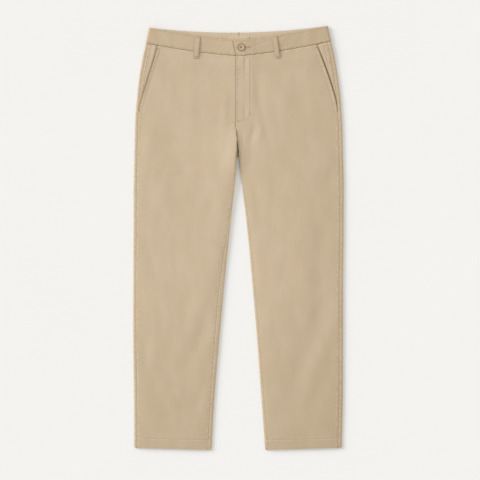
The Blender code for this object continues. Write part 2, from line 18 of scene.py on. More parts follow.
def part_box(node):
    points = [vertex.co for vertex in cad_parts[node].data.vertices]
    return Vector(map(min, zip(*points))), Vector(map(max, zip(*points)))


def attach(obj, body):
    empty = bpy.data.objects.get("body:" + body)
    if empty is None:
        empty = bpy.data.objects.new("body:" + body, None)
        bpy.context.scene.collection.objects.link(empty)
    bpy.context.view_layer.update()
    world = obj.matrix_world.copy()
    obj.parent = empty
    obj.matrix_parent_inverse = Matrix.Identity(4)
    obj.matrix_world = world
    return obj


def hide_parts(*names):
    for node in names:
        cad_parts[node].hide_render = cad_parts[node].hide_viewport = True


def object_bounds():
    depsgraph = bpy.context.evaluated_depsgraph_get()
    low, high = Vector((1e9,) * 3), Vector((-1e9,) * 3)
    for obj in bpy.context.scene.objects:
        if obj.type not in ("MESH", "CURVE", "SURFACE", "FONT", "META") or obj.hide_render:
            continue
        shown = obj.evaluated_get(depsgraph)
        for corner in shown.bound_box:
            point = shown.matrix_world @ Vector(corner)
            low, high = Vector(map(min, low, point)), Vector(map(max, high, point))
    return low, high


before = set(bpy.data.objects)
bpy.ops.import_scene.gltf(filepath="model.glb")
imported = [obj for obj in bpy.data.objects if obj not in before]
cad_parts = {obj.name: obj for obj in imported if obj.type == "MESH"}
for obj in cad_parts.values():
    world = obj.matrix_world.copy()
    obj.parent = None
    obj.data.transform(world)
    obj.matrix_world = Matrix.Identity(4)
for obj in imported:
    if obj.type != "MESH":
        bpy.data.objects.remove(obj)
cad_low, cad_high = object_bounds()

MM = 0.001
HEM_Y = cad_low.y / MM
print("frame: %.0f mm long, %.0f mm wide" % ((cad_high.y - cad_low.y) / MM,
                                             (cad_high.x - cad_low.x) / MM))

# %% [markdown]
# ## The shape of trousers lying flat
# A leg lying on a table is a flattened tube: its underside is flat, its two edges are tight folds
# and its top is a little puffed. A short table of half widths at a few heights gives the outline,
# and a smooth curve through its rows gives every height between. "Reach" is the distance outwards
# from the middle, so that both legs share the same functions.

# %% Outline and thickness
Section = namedtuple("Section", "height right_outer right_inner left_inner left_outer")
CENTRE_FRONT = 4.5         # the front seam lies this far to the wearer's right
SECTIONS = [Section(*row) for row in (
    (0, 254.7, 66.5, 66.0, 252.7),
    (123, 255.4, 59.4, 56.7, 255.4),
    (270, 257.4, 47.2, 45.9, 255.9),
    (417, 257.4, 33.7, 33.2, 256.1),
    (564, 256.6, 19.0, 19.0, 257.4),
    (662, 256.1, 8.5, 6.7, 257.4),
    (711, 254.9, 5.2, 1.2, 256.1),
    (735, 254.4, 3.9, -0.2, 255.7),
    (753, 253.9, 3.8, -2.8, 255.2),
    (785, 253.3, 5.2, -5.2, 254.4),
    (824, 251.8, CENTRE_FRONT, -CENTRE_FRONT, 252.4),
    (868, 248.0, CENTRE_FRONT, -CENTRE_FRONT, 248.8),
    (912, 243.2, CENTRE_FRONT, -CENTRE_FRONT, 243.2),
    (956, 235.8, CENTRE_FRONT, -CENTRE_FRONT, 235.8),
    (998, 226.4, CENTRE_FRONT, -CENTRE_FRONT, 226.4),
    (1036.5, 218.0, CENTRE_FRONT, -CENTRE_FRONT, 218.0),
)]
Depth = namedtuple("Depth", "height rest_level edge right_thigh left_thigh loft fly_rise")
DEPTHS = [Depth(*row) for row in (
    (0, 0.0, 4.0, 0.0, 0.0, 1.5, 0.0),
    (60, 0.0, 4.6, 0.0, 0.0, 2.0, 0.0),
    (440, 0.0, 4.8, 0.0, 0.0, 2.0, 0.0),
    (560, 0.0, 4.8, 1.5, 0.0, 2.0, 0.0),
    (613, 0.0, 4.8, 2.5, 0.3, 2.0, 0.0),
    (660, 0.0, 4.8, 4.6, 1.0, 2.0, 0.0),
    (700, 0.0, 4.8, 8.0, 2.2, 2.0, 0.0),
    (722, 0.0, 4.8, 9.0, 3.2, 2.0, 0.0),
    (752, 0.0, 4.8, 6.4, 2.6, 1.8, 0.2),
    (778, 0.0, 4.8, 2.4, 0.8, 1.6, 0.5),
    (797, 0.0, 4.8, 0.0, 0.0, 1.4, 0.8),
    (940, 0.0, 5.2, 0.0, 0.0, 1.0, 1.5),
    (972, 1.3, 5.4, 0.0, 0.0, 0.7, 2.1),
    (1036.5, 1.3, 5.4, 0.0, 0.0, 0.6, 2.2),
)]
THIGH_SLOPE = {"right": 105.0, "left": 34.0}     # how far out the thick inner thigh tapers off
SIGN = {"right": -1, "left": 1}


def columns(table, name):
    """The heights of a table's rows, and one of its columns."""
    heights = np.array([row.height for row in table], float)
    return heights, np.array([getattr(row, name) for row in table], float)


def curve(table, name, at):
    """A column as a smooth curve through its rows."""
    heights, values = columns(table, name)
    slopes = np.gradient(values, heights)
    i = np.clip(np.searchsorted(heights, at) - 1, 0, len(heights) - 2)
    span = heights[i + 1] - heights[i]
    t = np.clip((at - heights[i]) / span, 0, 1)
    bend = t * t * (3 - 2 * t)
    rise = slopes[i] * t * (1 - t) ** 2 - slopes[i + 1] * t * t * (1 - t)
    return values[i] * (1 - bend) + values[i + 1] * bend + span * rise


def steps(table, name, at):
    """A column as a straight line from row to row."""
    return np.interp(at, *columns(table, name))


def ease(value, start, end):
    """0 before start, 1 after end, and a smooth step between."""
    t = np.clip((np.asarray(value, float) - start) / (end - start), 0, 1)
    return t * t * (3 - 2 * t)


def outer(side, v):
    return curve(SECTIONS, side + "_outer", v)


def inner(side, v):
    return curve(SECTIONS, side + "_inner", v)


def fold_radius(v):
    return steps(DEPTHS, "edge", v) / 2


def thigh_radius(side, v):
    """Half the height of a leg's inner fold, which is bulky near the crotch."""
    return fold_radius(v) + np.maximum(0, curve(DEPTHS, side + "_thigh", v)) / 2


print("half width at the knee: %.0f mm" % float(outer("left", 490.0)))

# %% [markdown]
# ## Creases
# Cloth that has been smoothed out by hand keeps long, soft troughs and ridges where it was pulled:
# out from the crotch, across the thigh, and slanting down the shin. Each is a path with a height
# and a width. They are placed one by one, because an even pattern would look like corrugated iron.

# %% The main creases
Crease = namedtuple("Crease", "name height width path")
CREASES = [Crease(*row) for row in (
    ("right_hip_ridge", 0.7, 15, ((-190, 872), (-204, 791), (-226, 711))),
    ("right_side_trough", -0.8, 9, ((-230, 828), (-239, 760))),
    ("right_seat_trough", -0.7, 22, ((-172, 790), (-158, 680))),
    ("right_thigh_dent", -0.7, 20, ((-138, 710), (-147, 630))),
    ("right_thigh_swell", 0.7, 19, ((-178, 672), (-190, 596))),
    ("right_pleat_trough", -0.5, 15, ((-88, 945), (-95, 846))),
    ("right_pleat_ridge", 0.7, 17, ((-114, 905), (-112, 830))),
    ("right_crotch_ridge", 0.8, 9, ((-30, 882), (-34, 795))),
    ("right_crotch_trough", -0.6, 8, ((-46, 858), (-45, 795))),
    ("right_inner_ridge", 1.0, 20, ((-8, 790), (-9, 723), (-30, 648), (-48, 530))),
    ("right_knee_ridge", 1.2, 20, ((-48, 500), (-72, 400), (-106, 319), (-122, 258))),
    ("right_knee_trough", -0.8, 19, ((-52, 352), (-93, 278), (-118, 216), (-150, 176))),
    ("right_shin_swell", 0.7, 18, ((-168, 150), (-155, 96))),
    ("right_calf_trough", -0.9, 13, ((-237, 330), (-226, 246), (-229, 195))),
    ("right_hem_trough", -0.8, 15, ((-86, 156), (-108, 84))),
    ("right_cross_crease", -0.3, 6, ((-218, 193), (-152, 180))),
    ("left_fly_trough", -1.2, 8, ((47, 912), (53, 846), (66, 785), (76, 750))),
    ("left_crotch_trough", -1.2, 6.5, ((42, 798), (29, 748))),
    ("left_crotch_ridge", 0.7, 6, ((57, 800), (50, 752))),
    ("left_crotch_tick", -1.6, 3.5, ((8, 778), (14, 735))),
    ("left_hip_ridge", 0.9, 15, ((62, 905), (102, 880), (128, 826))),
    ("left_hip_trough", -0.6, 17, ((143, 880), (152, 780))),
    ("left_thigh_ridge", 0.6, 19, ((92, 795), (82, 700))),
    ("left_inner_trough", -0.8, 14, ((27, 672), (46, 596), (57, 520), (63, 448))),
    ("left_mid_ridge", 1.6, 34, ((150, 720), (156, 560), (152, 440), (160, 350))),
    ("left_side_dent", -0.9, 14, ((224, 700), (226, 640))),
    ("left_side_swell", 0.5, 15, ((202, 620), (204, 560))),
    ("left_knee_trough", -1.8, 22, ((208, 560), (208, 368), (189, 290), (149, 180), (112, 62))),
    ("left_shin_ridge", 0.7, 20, ((232, 300), (183, 204), (149, 118))),
    ("left_hem_trough", -0.7, 19, ((196, 168), (174, 74))),
    ("left_inner_swell", 0.5, 14, ((74, 335), (78, 280))),
)]


def to_path(x, y, path):
    """For each place: how far it is from a path, and how far along it, from 0 to 1."""
    points = np.array(path, float)
    runs = np.diff(points, axis=0)
    lengths = np.hypot(*runs.T)
    before = np.concatenate(([0], np.cumsum(lengths)))
    nearest = np.full(np.shape(x), np.inf)
    along = np.zeros(np.shape(x))
    for start, run, length, gone in zip(points, runs, lengths, before):
        t = np.clip(((x - start[0]) * run[0] + (y - start[1]) * run[1]) / length ** 2, 0, 1)
        away = np.hypot(x - start[0] - t * run[0], y - start[1] - t * run[1])
        closer = away < nearest
        nearest = np.where(closer, away, nearest)
        along = np.where(closer, gone + t * length, along)
    return nearest, along / before[-1]


def bump(distance, width):
    """1 on a line, fading to 0 over the width."""
    return np.exp(-(distance / width) ** 2)


def creases(x, y):
    """The height that the creases and the cloth's own slight unevenness add."""
    total = np.zeros(np.shape(x))
    for crease in CREASES:
        away, along = to_path(x, y, crease.path)
        taper = np.sin(np.pi * np.clip(along, 0.02, 0.98)) ** 0.6
        total += crease.height * bump(away, crease.width) * taper
    total += 0.12 * np.sin(x / 23 + 1.7 * np.sin(y / 61)) * np.sin(y / 37 + 0.8)
    total += 0.05 * np.sin(x / 9.5 + 2.1 * np.sin(y / 33)) * np.sin(y / 14 + np.sin(x / 19))
    return total


print("%d creases placed" % len(CREASES))

# %% [markdown]
# ## From reach and height to a place
# Two facts turn a flat drawing into lying trousers. The waist sags between the hips, more in front
# than behind, so that the inside of the back waistband shows. And the hem slopes up slightly
# towards its outer corner.

# %% The lay of the cloth
WAIST_SEAM = 998.0
WAIST_TOP = 1036.5
SEAT_START = 830.0
FRONT_SAG = 33.0
BACK_SAG = 14.4
WAIST_TILT = 2.2
HEM_LIFT = 5.2
HEM_LIFT_REACH = 150.0
RISE_CENTRE = 4.0
RISE_WIDTH = 38.0


def lay_y(side, v, reach, on_front):
    """Where a height on the garment comes to lie."""
    x = SIGN[side] * reach
    width = outer(side, v)
    share = np.clip(np.abs(x) / width, 0, 1)
    front = FRONT_SAG * (1 - share ** 1.4)
    back = BACK_SAG * (1 - share ** 2.05)
    sag = np.where(on_front, front, back)
    settle = ease(v, SEAT_START, WAIST_SEAM)
    lift = np.clip(1 - v / HEM_LIFT_REACH, 0, 1)
    across = np.clip((reach - inner(side, v)) / (width - inner(side, v)), 0, 1)
    return v + settle * (WAIST_TILT * x / 218 - sag) + HEM_LIFT * lift * across


def top_level(side, v, reach):
    """The level of the front's outer surface, creases included."""
    radius = fold_radius(v)
    first = outer(side, v) - radius
    last = inner(side, v) + radius
    share = np.clip((first - reach) / (first - last), 0, 1)
    in_leg = 1 - ease(v, 735, SEAT_START)
    full = 1 - np.clip(1 - 2 * share, 0, 1) ** 7
    full = full * (1 - in_leg * np.clip(2 * share - 1, 0, 1) ** 7)
    x = SIGN[side] * reach
    y = lay_y(side, v, reach, True)
    level = steps(DEPTHS, "rest_level", v) + 2 * radius
    taper = 1 - np.clip((reach - last) / THIGH_SLOPE[side], 0, 1)
    level = level + 2 * (thigh_radius(side, v) - radius) * taper ** 2
    level = level + full * (steps(DEPTHS, "loft", v) + creases(x, y))
    return level + steps(DEPTHS, "fly_rise", v) * bump(x - RISE_CENTRE, RISE_WIDTH)


def place(side, v, reach, level, on_front):
    """Points in metres, one for each entry of the arrays."""
    x = SIGN[side] * reach
    y = lay_y(side, v, reach, on_front) + HEM_Y
    return np.stack(np.broadcast_arrays(x, y, level), axis=-1) * MM


corner = place("left", np.array([WAIST_TOP]), np.array([218.0]), np.array([5.0]), True)[0]
print("waist corner %.1f mm from the frame's top" % ((cad_high.y - corner[1]) / MM))

# %% [markdown]
# ## Walking round the tube
# A panel is a stretch of the flattened tube. Walking along one row of it means going over the top,
# round the tight outer fold, back underneath, and in a leg round the inner fold and up on the top
# again. One function turns the distance walked into a place, for a whole grid at once.

# %% Walks round a leg or the seat
CROTCH_BACK = 719.0
CROTCH_FRONT = 753.0
ROLL_FLAT = 797.0
FLY_BOTTOM = 803.0
POCKET_BOTTOM = 829.0
SIDE_WRAP = {"right": 7.0, "left": 8.8}
POCKET_TOP = {"right": 195.9, "left": 190.5}
POCKET_BEND = {"right": 1.0, "left": 1.25}
FLY_EDGE = 5.5
FLY_TAB = 11.0
FLY_RAMP = 1.1
LAYER_DROP = 1.7
BAND_DROP = 1.9
UNDERLAP_END = 20.0
ROLL_ANGLE = math.radians(118)
Inseam = namedtuple("Inseam", "height right left")
INSEAMS = (
    Inseam(0, 12.5, 5.2),
    Inseam(270, 15.5, 5.2),
    Inseam(395, 17.0, 5.2),
    Inseam(527, 10.0, 4.8),
    Inseam(613, 6.0, 4.2),
    Inseam(CROTCH_BACK, 3.1, 3.1),
)


def walk_round(side, v, w, in_leg):
    """Places on the tube. w is the distance outwards from where the outer fold begins on top."""
    v, w = np.broadcast_arrays(v, w)
    radius = fold_radius(v)
    base = steps(DEPTHS, "rest_level", v)
    bulk = thigh_radius(side, v)
    turn = outer(side, v) - radius
    half_turn = np.pi * radius
    flat = turn - inner(side, v) - radius
    past_fold = w - half_turn
    past_flat = past_fold - flat
    on_top = w <= 0
    on_fold = (w > 0) & (w <= half_turn)
    underneath = (past_fold > 0) & ((past_flat <= 0) | (not in_leg))
    on_inner_fold = (past_flat > 0) & (past_flat <= np.pi * bulk) & in_leg
    outer_angle = np.pi / 2 - w / radius
    inner_angle = past_flat / bulk
    hub = inner(side, v) + radius
    where = [on_top, on_fold, underneath, on_inner_fold]
    reach = np.select(where, [turn + w, turn + radius * np.cos(outer_angle), turn - past_fold,
                              hub - radius * np.sin(inner_angle)],
                      hub + past_flat - np.pi * bulk)
    top = top_level(side, v, reach)
    level = np.select(where, [top, base + radius * (1 + np.sin(outer_angle)), base,
                              base + bulk * (1 - np.cos(inner_angle))], top)
    on_front = on_top | (on_fold & (outer_angle > 0)) | (in_leg & (past_flat > np.pi * bulk))
    return np.where(on_front[..., None], place(side, v, reach, level, True),
                    place(side, v, reach, level, False))


# %% [markdown]
# ### Pocket, fly and inseam
# The slant of a pocket, the drop of the right front under the fly, and the run of an inseam.

# %% Pocket and fly edges
def pocket_edge(side, v):
    """Reach of the front's outer edge: the side seam, or the slant pocket's opening above it."""
    seam = outer(side, v) - SIDE_WRAP[side]
    start = float(outer(side, POCKET_BOTTOM)) - SIDE_WRAP[side]
    up = np.clip((v - POCKET_BOTTOM) / (WAIST_SEAM - POCKET_BOTTOM), 0, 1)
    slant = start - (start - POCKET_TOP[side]) * up ** POCKET_BEND[side]
    return np.where(v <= POCKET_BOTTOM, seam, np.minimum(seam, slant))


def fly_drop(side, v, reach):
    """How far the right front dips, to pass under the left one at the fly."""
    if side == "left":
        return np.zeros(np.shape(reach))
    end = FLY_EDGE + 0.3 + 1.2 * (1 - ease(v, ROLL_FLAT, FLY_BOTTOM))
    return LAYER_DROP * (1 - ease(reach, end, end + FLY_RAMP)) * ease(v, 785, ROLL_FLAT)


def inseam_run(side, v):
    """How far the back comes up round the inner fold to the inseam."""
    return steps(INSEAMS, side, v) * thigh_radius(side, v) / fold_radius(v)


def front_ends(side, v):
    """Where a front row starts, where it leaves the flat top, and how far it then curls in."""
    radius = fold_radius(v)
    bulk = thigh_radius(side, v)
    start = pocket_edge(side, v)
    around = np.maximum(inseam_run(side, v), ROLL_ANGLE * bulk * ease(v, 640, 684))
    in_seat = ROLL_ANGLE + (np.pi - ROLL_ANGLE) * ease(v, CROTCH_FRONT, ROLL_FLAT)
    angle = np.where(v < CROTCH_FRONT, around / bulk, in_seat)
    hub = inner(side, v) + radius * np.where(v < CROTCH_FRONT, 1, np.sin(in_seat))
    tab = -FLY_TAB if side == "right" else -FLY_EDGE
    at_fly = ease(v, ROLL_FLAT, FLY_BOTTOM + 3)
    hub = hub * (1 - at_fly) + tab * at_fly
    flat_end = hub + np.maximum(0, angle - np.pi) * bulk
    curl = np.maximum(0, np.pi - angle) * bulk
    return start, flat_end, curl


# %% [markdown]
# ### Walks on the front and the back
# A front or back panel is walked from its start, so that its cloth keeps its length.

# %% Walks on the front and the back
def walk_front(side, v, s):
    """Places on a front panel, s millimetres in from its outer edge."""
    v, s = np.broadcast_arrays(v, s)
    start, flat_end, _ = front_ends(side, v)
    bulk = thigh_radius(side, v)
    past = s - (start - flat_end)
    turned = np.clip(past, 0, None) / bulk
    reach = np.where(past <= 0, start - s, flat_end - fold_radius(v) * np.sin(turned))
    at = np.where(past <= 0, reach, flat_end)
    level = top_level(side, v, at) - fly_drop(side, v, at) - bulk * (1 - np.cos(turned))
    return place(side, v, reach, level, True)


def walk_back(side, v, w, end_leg, end_seat, start):
    """Places on a back panel, where each leg's walk ends round its fold and the seat's at the
    centre back. w runs from 0 to 1 between the start and the end."""
    leg = walk_round(side, np.minimum(v, CROTCH_BACK + 12), start + (end_leg - start) * w, True)
    seat = walk_round(side, v, start + (end_seat - start) * w, False)
    blend = ease(v, CROTCH_BACK - 9, CROTCH_BACK)[..., None]
    leg[..., 1] = leg[..., 1] + (v - np.minimum(v, CROTCH_BACK + 12)) * MM
    return leg * (1 - blend) + seat * blend


print("a leg's tube is %.0f mm round at the knee"
      % (2 * float(outer("left", 490.0) - inner("left", 490.0)) + 5))

# %% [markdown]
# ## Cloth with turned edges
# A cut edge never shows on sewn clothing: every edge is turned to the inside, and that small roll
# is what makes a seam read as a fine dark line. So each sheet gets its seams pressed in as shallow
# grooves along its normals, then its edges rolled under, and a Solidify modifier gives the wall.

# %% Sheets of cloth
WALL = 0.75                # millimetres; twill is thinner, and its wall is drawn so that it holds
TURN = 0.85                # how deep half a turned edge is
NIP = 0.32                 # a turned edge is nipped to this share of its depth across
GAP = 0.12                 # left between two turned edges at a seam


def waver(v, period, seed=0.0):
    """A smooth, uneven ripple between about -1 and 1."""
    a = 2 * np.pi * np.asarray(v, float) / period
    return (0.55 * np.sin(a + 1.9 * np.sin(a / 3.7 + seed) + seed)
            + 0.45 * np.sin(a * 1.63 + 1.3 * np.sin(a / 5.3 + 2 * seed) + 3 * seed))


def normals_of(points, outward):
    """Unit normals of a grid of points; outward is a sign."""
    across = np.gradient(points, axis=1)
    along = np.gradient(points, axis=0)
    normals = np.cross(along, across) * outward
    return normals / np.maximum(np.linalg.norm(normals, axis=-1, keepdims=True), 1e-12)


def turn_edge(points, normals, axis, at_end, run, radius):
    """Rolls one edge of a grid under, and lets it run on below. radius may differ along it."""
    work, away = (np.swapaxes(a, 0, 1) if axis else a for a in (points, normals))
    work, away = (a[::-1] if at_end else a for a in (work, away))
    radius = np.reshape(np.asarray(radius, float), (-1, 1)) * MM
    tangent = work[0] - work[1]
    tangent = tangent / np.maximum(np.linalg.norm(tangent, axis=-1, keepdims=True), 1e-12)
    grown = []
    for angle in np.radians((30, 60, 90, 120, 150, 180)):
        across = tangent * np.sin(angle) * NIP
        grown.append(work[0] + (across - away[0] * (1 - np.cos(angle))) * radius)
    gone = np.linalg.norm(np.diff(work, axis=0), axis=-1).mean(axis=1).cumsum() / MM
    count = int(np.searchsorted(gone, run)) + 1
    grown += [work[i] - away[i] * 2 * radius for i in range(1, count + 1)]
    extra = np.array([away[0]] * 6 + [away[i] for i in range(1, count + 1)])
    work = np.concatenate((np.array(grown)[::-1], work))
    away = np.concatenate((extra[::-1], away))
    work, away = (a[::-1] if at_end else a for a in (work, away))
    return tuple(np.swapaxes(a, 0, 1) if axis else a for a in (work, away))


# %% [markdown]
# ### From points to a named piece
# A sheet is a bmesh grid moved to its points. Its wall stays a live Solidify modifier.

# %% Meshes and pieces
def grid_mesh(name, points, outward):
    """A mesh from a grid of points, with a cloth UV map in metres along both threads."""
    rows, cols = points.shape[:2]
    bm = bmesh.new()
    bmesh.ops.create_grid(bm, x_segments=cols - 1, y_segments=rows - 1, size=0.5)
    mesh = bpy.data.meshes.new(name)
    bm.to_mesh(mesh)
    bm.free()
    flat = np.empty(len(mesh.vertices) * 3)
    mesh.vertices.foreach_get("co", flat)
    flat = flat.reshape(-1, 3)
    col = np.rint((flat[:, 0] + 0.5) * (cols - 1)).astype(int)
    row = np.rint((flat[:, 1] + 0.5) * (rows - 1)).astype(int)
    mesh.vertices.foreach_set("co", points[row, col].ravel())
    across = np.linalg.norm(np.diff(points, axis=1), axis=-1).cumsum(axis=1)
    across = np.concatenate((np.zeros((rows, 1)), across), axis=1)
    across = across - across[:, cols // 2:cols // 2 + 1]
    along = np.linalg.norm(np.diff(points, axis=0), axis=-1).mean(axis=1).cumsum()
    along = np.concatenate(([0], along))[:, None] + np.zeros((1, cols))
    corners = np.empty(len(mesh.loops), int)
    mesh.loops.foreach_get("vertex_index", corners)
    weave = np.stack((across[row, col], along[row, col]), axis=-1)
    layer = mesh.uv_layers.new(name="cloth")
    layer.data.foreach_set("uv", weave[corners].ravel())
    normals = normals_of(points, outward)
    mesh.update()
    face = mesh.polygons[len(mesh.polygons) // 2]
    i = face.vertices[0]
    if face.normal.dot(Vector(normals[row[i], col[i]])) < 0:
        mesh.flip_normals()
    mesh.shade_smooth()
    return mesh, row, col


def linked(name, data):
    """A new object in the scene."""
    made = bpy.data.objects.new(name, data)
    bpy.context.scene.collection.objects.link(made)
    return made


def cloth_piece(name, points, outward, material, node, wall=WALL, wear_and_painted_shade=0.0):
    """A finished cloth piece: its mesh, wall and material, and the solid it stands for."""
    mesh, row, col = grid_mesh(name, points, outward)
    # the point attribute carries rubbed wear and painted shade
    rubbed_and_painted_light = mesh.attributes.new("wear_and_painted_shade", "FLOAT", "POINT")
    worn_and_shaded = wear_and_painted_shade + np.zeros(points.shape[:2])
    rubbed_and_painted_light.data.foreach_set("value", worn_and_shaded[row, col].astype(np.float32))
    piece = linked(name, mesh)
    mesh.materials.append(material)
    layer = piece.modifiers.new("wall", "SOLIDIFY")
    layer.thickness = wall * MM
    layer.offset = -1.0
    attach(piece, "root")
    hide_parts(node)
    return piece


print("walls %.2f mm, edges turned on %.2f mm" % (WALL, TURN))

# %% [markdown]
# ## Materials
# Chino cloth is a washed cotton twill: fine diagonal ribs, a dry matte face with a little fuzz that
# catches light at grazing angles, and dye that has washed out slightly unevenly. Each material is
# a small node tree. One helper adds a node; colours are laid over each other like baths of dye.

# %% Colour and node helpers
def srgb(hex_colour):
    """A hex colour as linear red, green, blue and alpha."""
    parts = [int(hex_colour[i:i + 2], 16) / 255 for i in (1, 3, 5)]
    linear = [c / 12.92 if c <= 0.04045 else ((c + 0.055) / 1.055) ** 2.4 for c in parts]
    return (*linear, 1.0)


def wire(tree, node, values=None, links=None):
    """Sets some of a node's sockets, and links into others."""
    for socket, value in (values or {}).items():
        node.inputs[socket].default_value = value
    for socket, source in (links or {}).items():
        tree.links.new(source, node.inputs[socket])
    return node


def add(tree, kind, values=None, links=None, **settings):
    """A shader node with its settings, its sockets' values, and links into it."""
    made = tree.nodes.new("ShaderNode" + kind)
    for name, value in settings.items():
        setattr(made, name, value)
    return wire(tree, made, values, links)


def new_material(name):
    """An empty node material, its Principled shader and its texture coordinates."""
    material = bpy.data.materials.new(name)
    material.use_nodes = True
    tree = material.node_tree
    return material, tree, tree.nodes["Principled BSDF"], add(tree, "TexCoord").outputs


def dye(tree, base, *baths):
    """Lays colours over a base, which is a hex colour. Each bath is a source, where it starts and
    ends, its colour, and how much of that it adds at most."""
    laid = {"values": {6: srgb(base)}, "links": {}}
    for source, start, end, colour, most in baths:
        amount = add(tree, "MapRange", {"From Min": start, "From Max": end, "To Max": most},
                     {"Value": source})
        mix = add(tree, "Mix", {7: srgb(colour), **laid["values"]},
                  {0: amount.outputs["Result"], **laid["links"]}, data_type="RGBA")
        laid = {"values": {}, "links": {6: mix.outputs[2]}}
    return mix.outputs[2]


# %% [markdown]
# ### Washed cotton twill
# Woven in a 2/1 twill, piece-dyed and garment-washed. The eye gets a soft matte surface, ribs that
# climb to the right, and long faint streaks that lean now to pink and now to green. Washing
# rubs seams and hems paler, and painted shade darkens their crevices: the point attribute
# "wear_and_painted_shade" runs from 1, rubbed, to -1, painted shade deep in a seam. Where it is
# rubbed, stitches have pulled the cloth into puckers about 5 mm apart, drawn with rubbed wear and
# a painted highlight on top and painted shade between. The wearer's left and the hems are
# painted darker, a painted fall-off of the light from the upper left. The ribs are really 0.6 mm
# apart; they are drawn at 1.3 mm so that they still show.

# %% Twill
TWILL_PITCH = 1.3 * MM
PUCKER_PITCH = 5.2 * MM
BANDS_PER_METRE = 2 * math.pi / 20     # a Wave texture at scale 1 has 20 radians to the metre
# a brown painted shade, laid in seams, stitch grooves, pocket mouths and on loop edges
SEAM_PAINTED_SHADE = "#8a6739"


def twill(name, pale, deep, rubbed_and_painted_light):
    material, tree, shader, threads = new_material(name)
    uv, places = threads["UV"], threads["Object"]
    turned = add(tree, "Mapping", {"Rotation": (0, 0, math.radians(-58))}, {"Vector": uv})
    ribs = add(tree, "TexWave", {"Scale": BANDS_PER_METRE / TWILL_PITCH, "Distortion": 1.2,
                                 "Detail": 2.0, "Detail Scale": 0.6},
               {"Vector": turned.outputs["Vector"]}, wave_type="BANDS").outputs["Fac"]
    slubs = add(tree, "TexNoise", {"Scale": 420.0, "Detail": 3.0, "Roughness": 0.6},
                {"Vector": uv}).outputs["Fac"]
    drawn_out = add(tree, "Mapping", {"Scale": (1.0, 0.4, 1.0)}, {"Vector": places})
    streaks = {"Vector": drawn_out.outputs["Vector"]}
    wash = add(tree, "TexNoise", {"Scale": 34.0, "Detail": 4.0, "Roughness": 0.55}, streaks)
    hue = add(tree, "TexNoise", {"Scale": 20.0, "Detail": 2.0}, streaks).outputs["Fac"]
    # painted shade: darker towards the wearer's left and the hems, a painted fall-off of the light
    axes = add(tree, "SeparateXYZ", links={"Vector": places}).outputs
    to_left = add(tree, "MapRange", {"From Min": 0.02, "From Max": 0.20, "To Max": 0.12},
                  {"Value": axes["X"]})
    to_hem = add(tree, "MapRange", {"From Min": -0.12, "From Max": -0.50, "To Max": 0.19},
                 {"Value": axes["Y"]})
    painted_falloff = add(tree, "Math", links={0: to_left.outputs[0], 1: to_hem.outputs[0]},
                  operation="ADD").outputs[0]
    # the point attribute: rubbed wear above 0, painted shade in seams below 0
    wear_and_painted_shade = add(tree, "Attribute", attribute_name="wear_and_painted_shade").outputs["Fac"]
    edge = add(tree, "MapRange", links={"Value": wear_and_painted_shade}).outputs[0]
    # pucker dots along rubbed seams: pale tops are rubbed wear and painted highlight, the dark
    # between is painted shade
    pulls = add(tree, "TexNoise", {"Scale": 1 / PUCKER_PITCH, "Detail": 1.0}, {"Vector": places})
    tops = add(tree, "MapRange", {"From Min": 0.36, "From Max": 0.64},
               {"Value": pulls.outputs["Fac"]}).outputs[0]
    pucker = add(tree, "Math", links={0: edge, 1: tops}, operation="MULTIPLY").outputs[0]
    between = add(tree, "Math", links={0: edge, 1: pucker}, operation="SUBTRACT").outputs[0]
    # the last baths lay painted highlight on pucker tops and painted shade between them and in the
    # seams
    dyed = dye(tree, deep, (wash.outputs["Fac"], 0.3, 0.7, pale, 1.0),
               (hue, 0.5, 0.68, "#cfb597", 0.2), (hue, 0.5, 0.32, "#c5b692", 0.2),
               (painted_falloff, 0.0, 1.0, "#a08b68", 1.0), (ribs, 1.0, 0.0, "#6b5a40", 0.12),
               (slubs, 0.6, 0.8, rubbed_and_painted_light, 0.16), (pucker, 0.0, 1.0, rubbed_and_painted_light, 0.5),
               (between, 0.0, 1.0, SEAM_PAINTED_SHADE, 0.14), (wear_and_painted_shade, 0.0, -1.0, SEAM_PAINTED_SHADE, 0.75))
    rough = add(tree, "MapRange", {"To Min": 0.95, "To Max": 0.84}, {"Value": ribs})
    relief = {}
    for height, strength, depth in ((pucker, 1.0, 0.3), (ribs, 0.35, 0.09), (slubs, 0.35, 0.12)):
        bump_node = add(tree, "Bump", {"Strength": strength, "Distance": depth * MM},
                        {"Height": height, **relief})
        relief = {"Normal": bump_node.outputs["Normal"]}
    wire(tree, shader, {"Specular IOR Level": 0.25, "Sheen Weight": 0.12, "Sheen Roughness": 0.5},
         {"Base Color": dyed, "Roughness": rough.outputs[0], **relief})
    return material


TWILL = twill("washed_cotton_twill", "#d3bfa4", "#cbb799", "#d9c7ac")
BAND_TWILL = twill("pressed_cotton_twill", "#cdb89b", "#c5b091", "#d6c4a8")
print("twill: ribs %.1f mm and puckers %.1f mm apart" % (TWILL_PITCH / MM, PUCKER_PITCH / MM))

# %% [markdown]
# ### Waistband facing, label, thread, tape, button and brass
# The facing is a thin cotton strip with upright ribs. The label place is a bare satin patch. Thread
# is twisted polyester, a touch darker than the cloth. The button is cast polyester resin with a
# faint horn-like swirl, and the zip has a plain woven tape and rolled brass teeth.

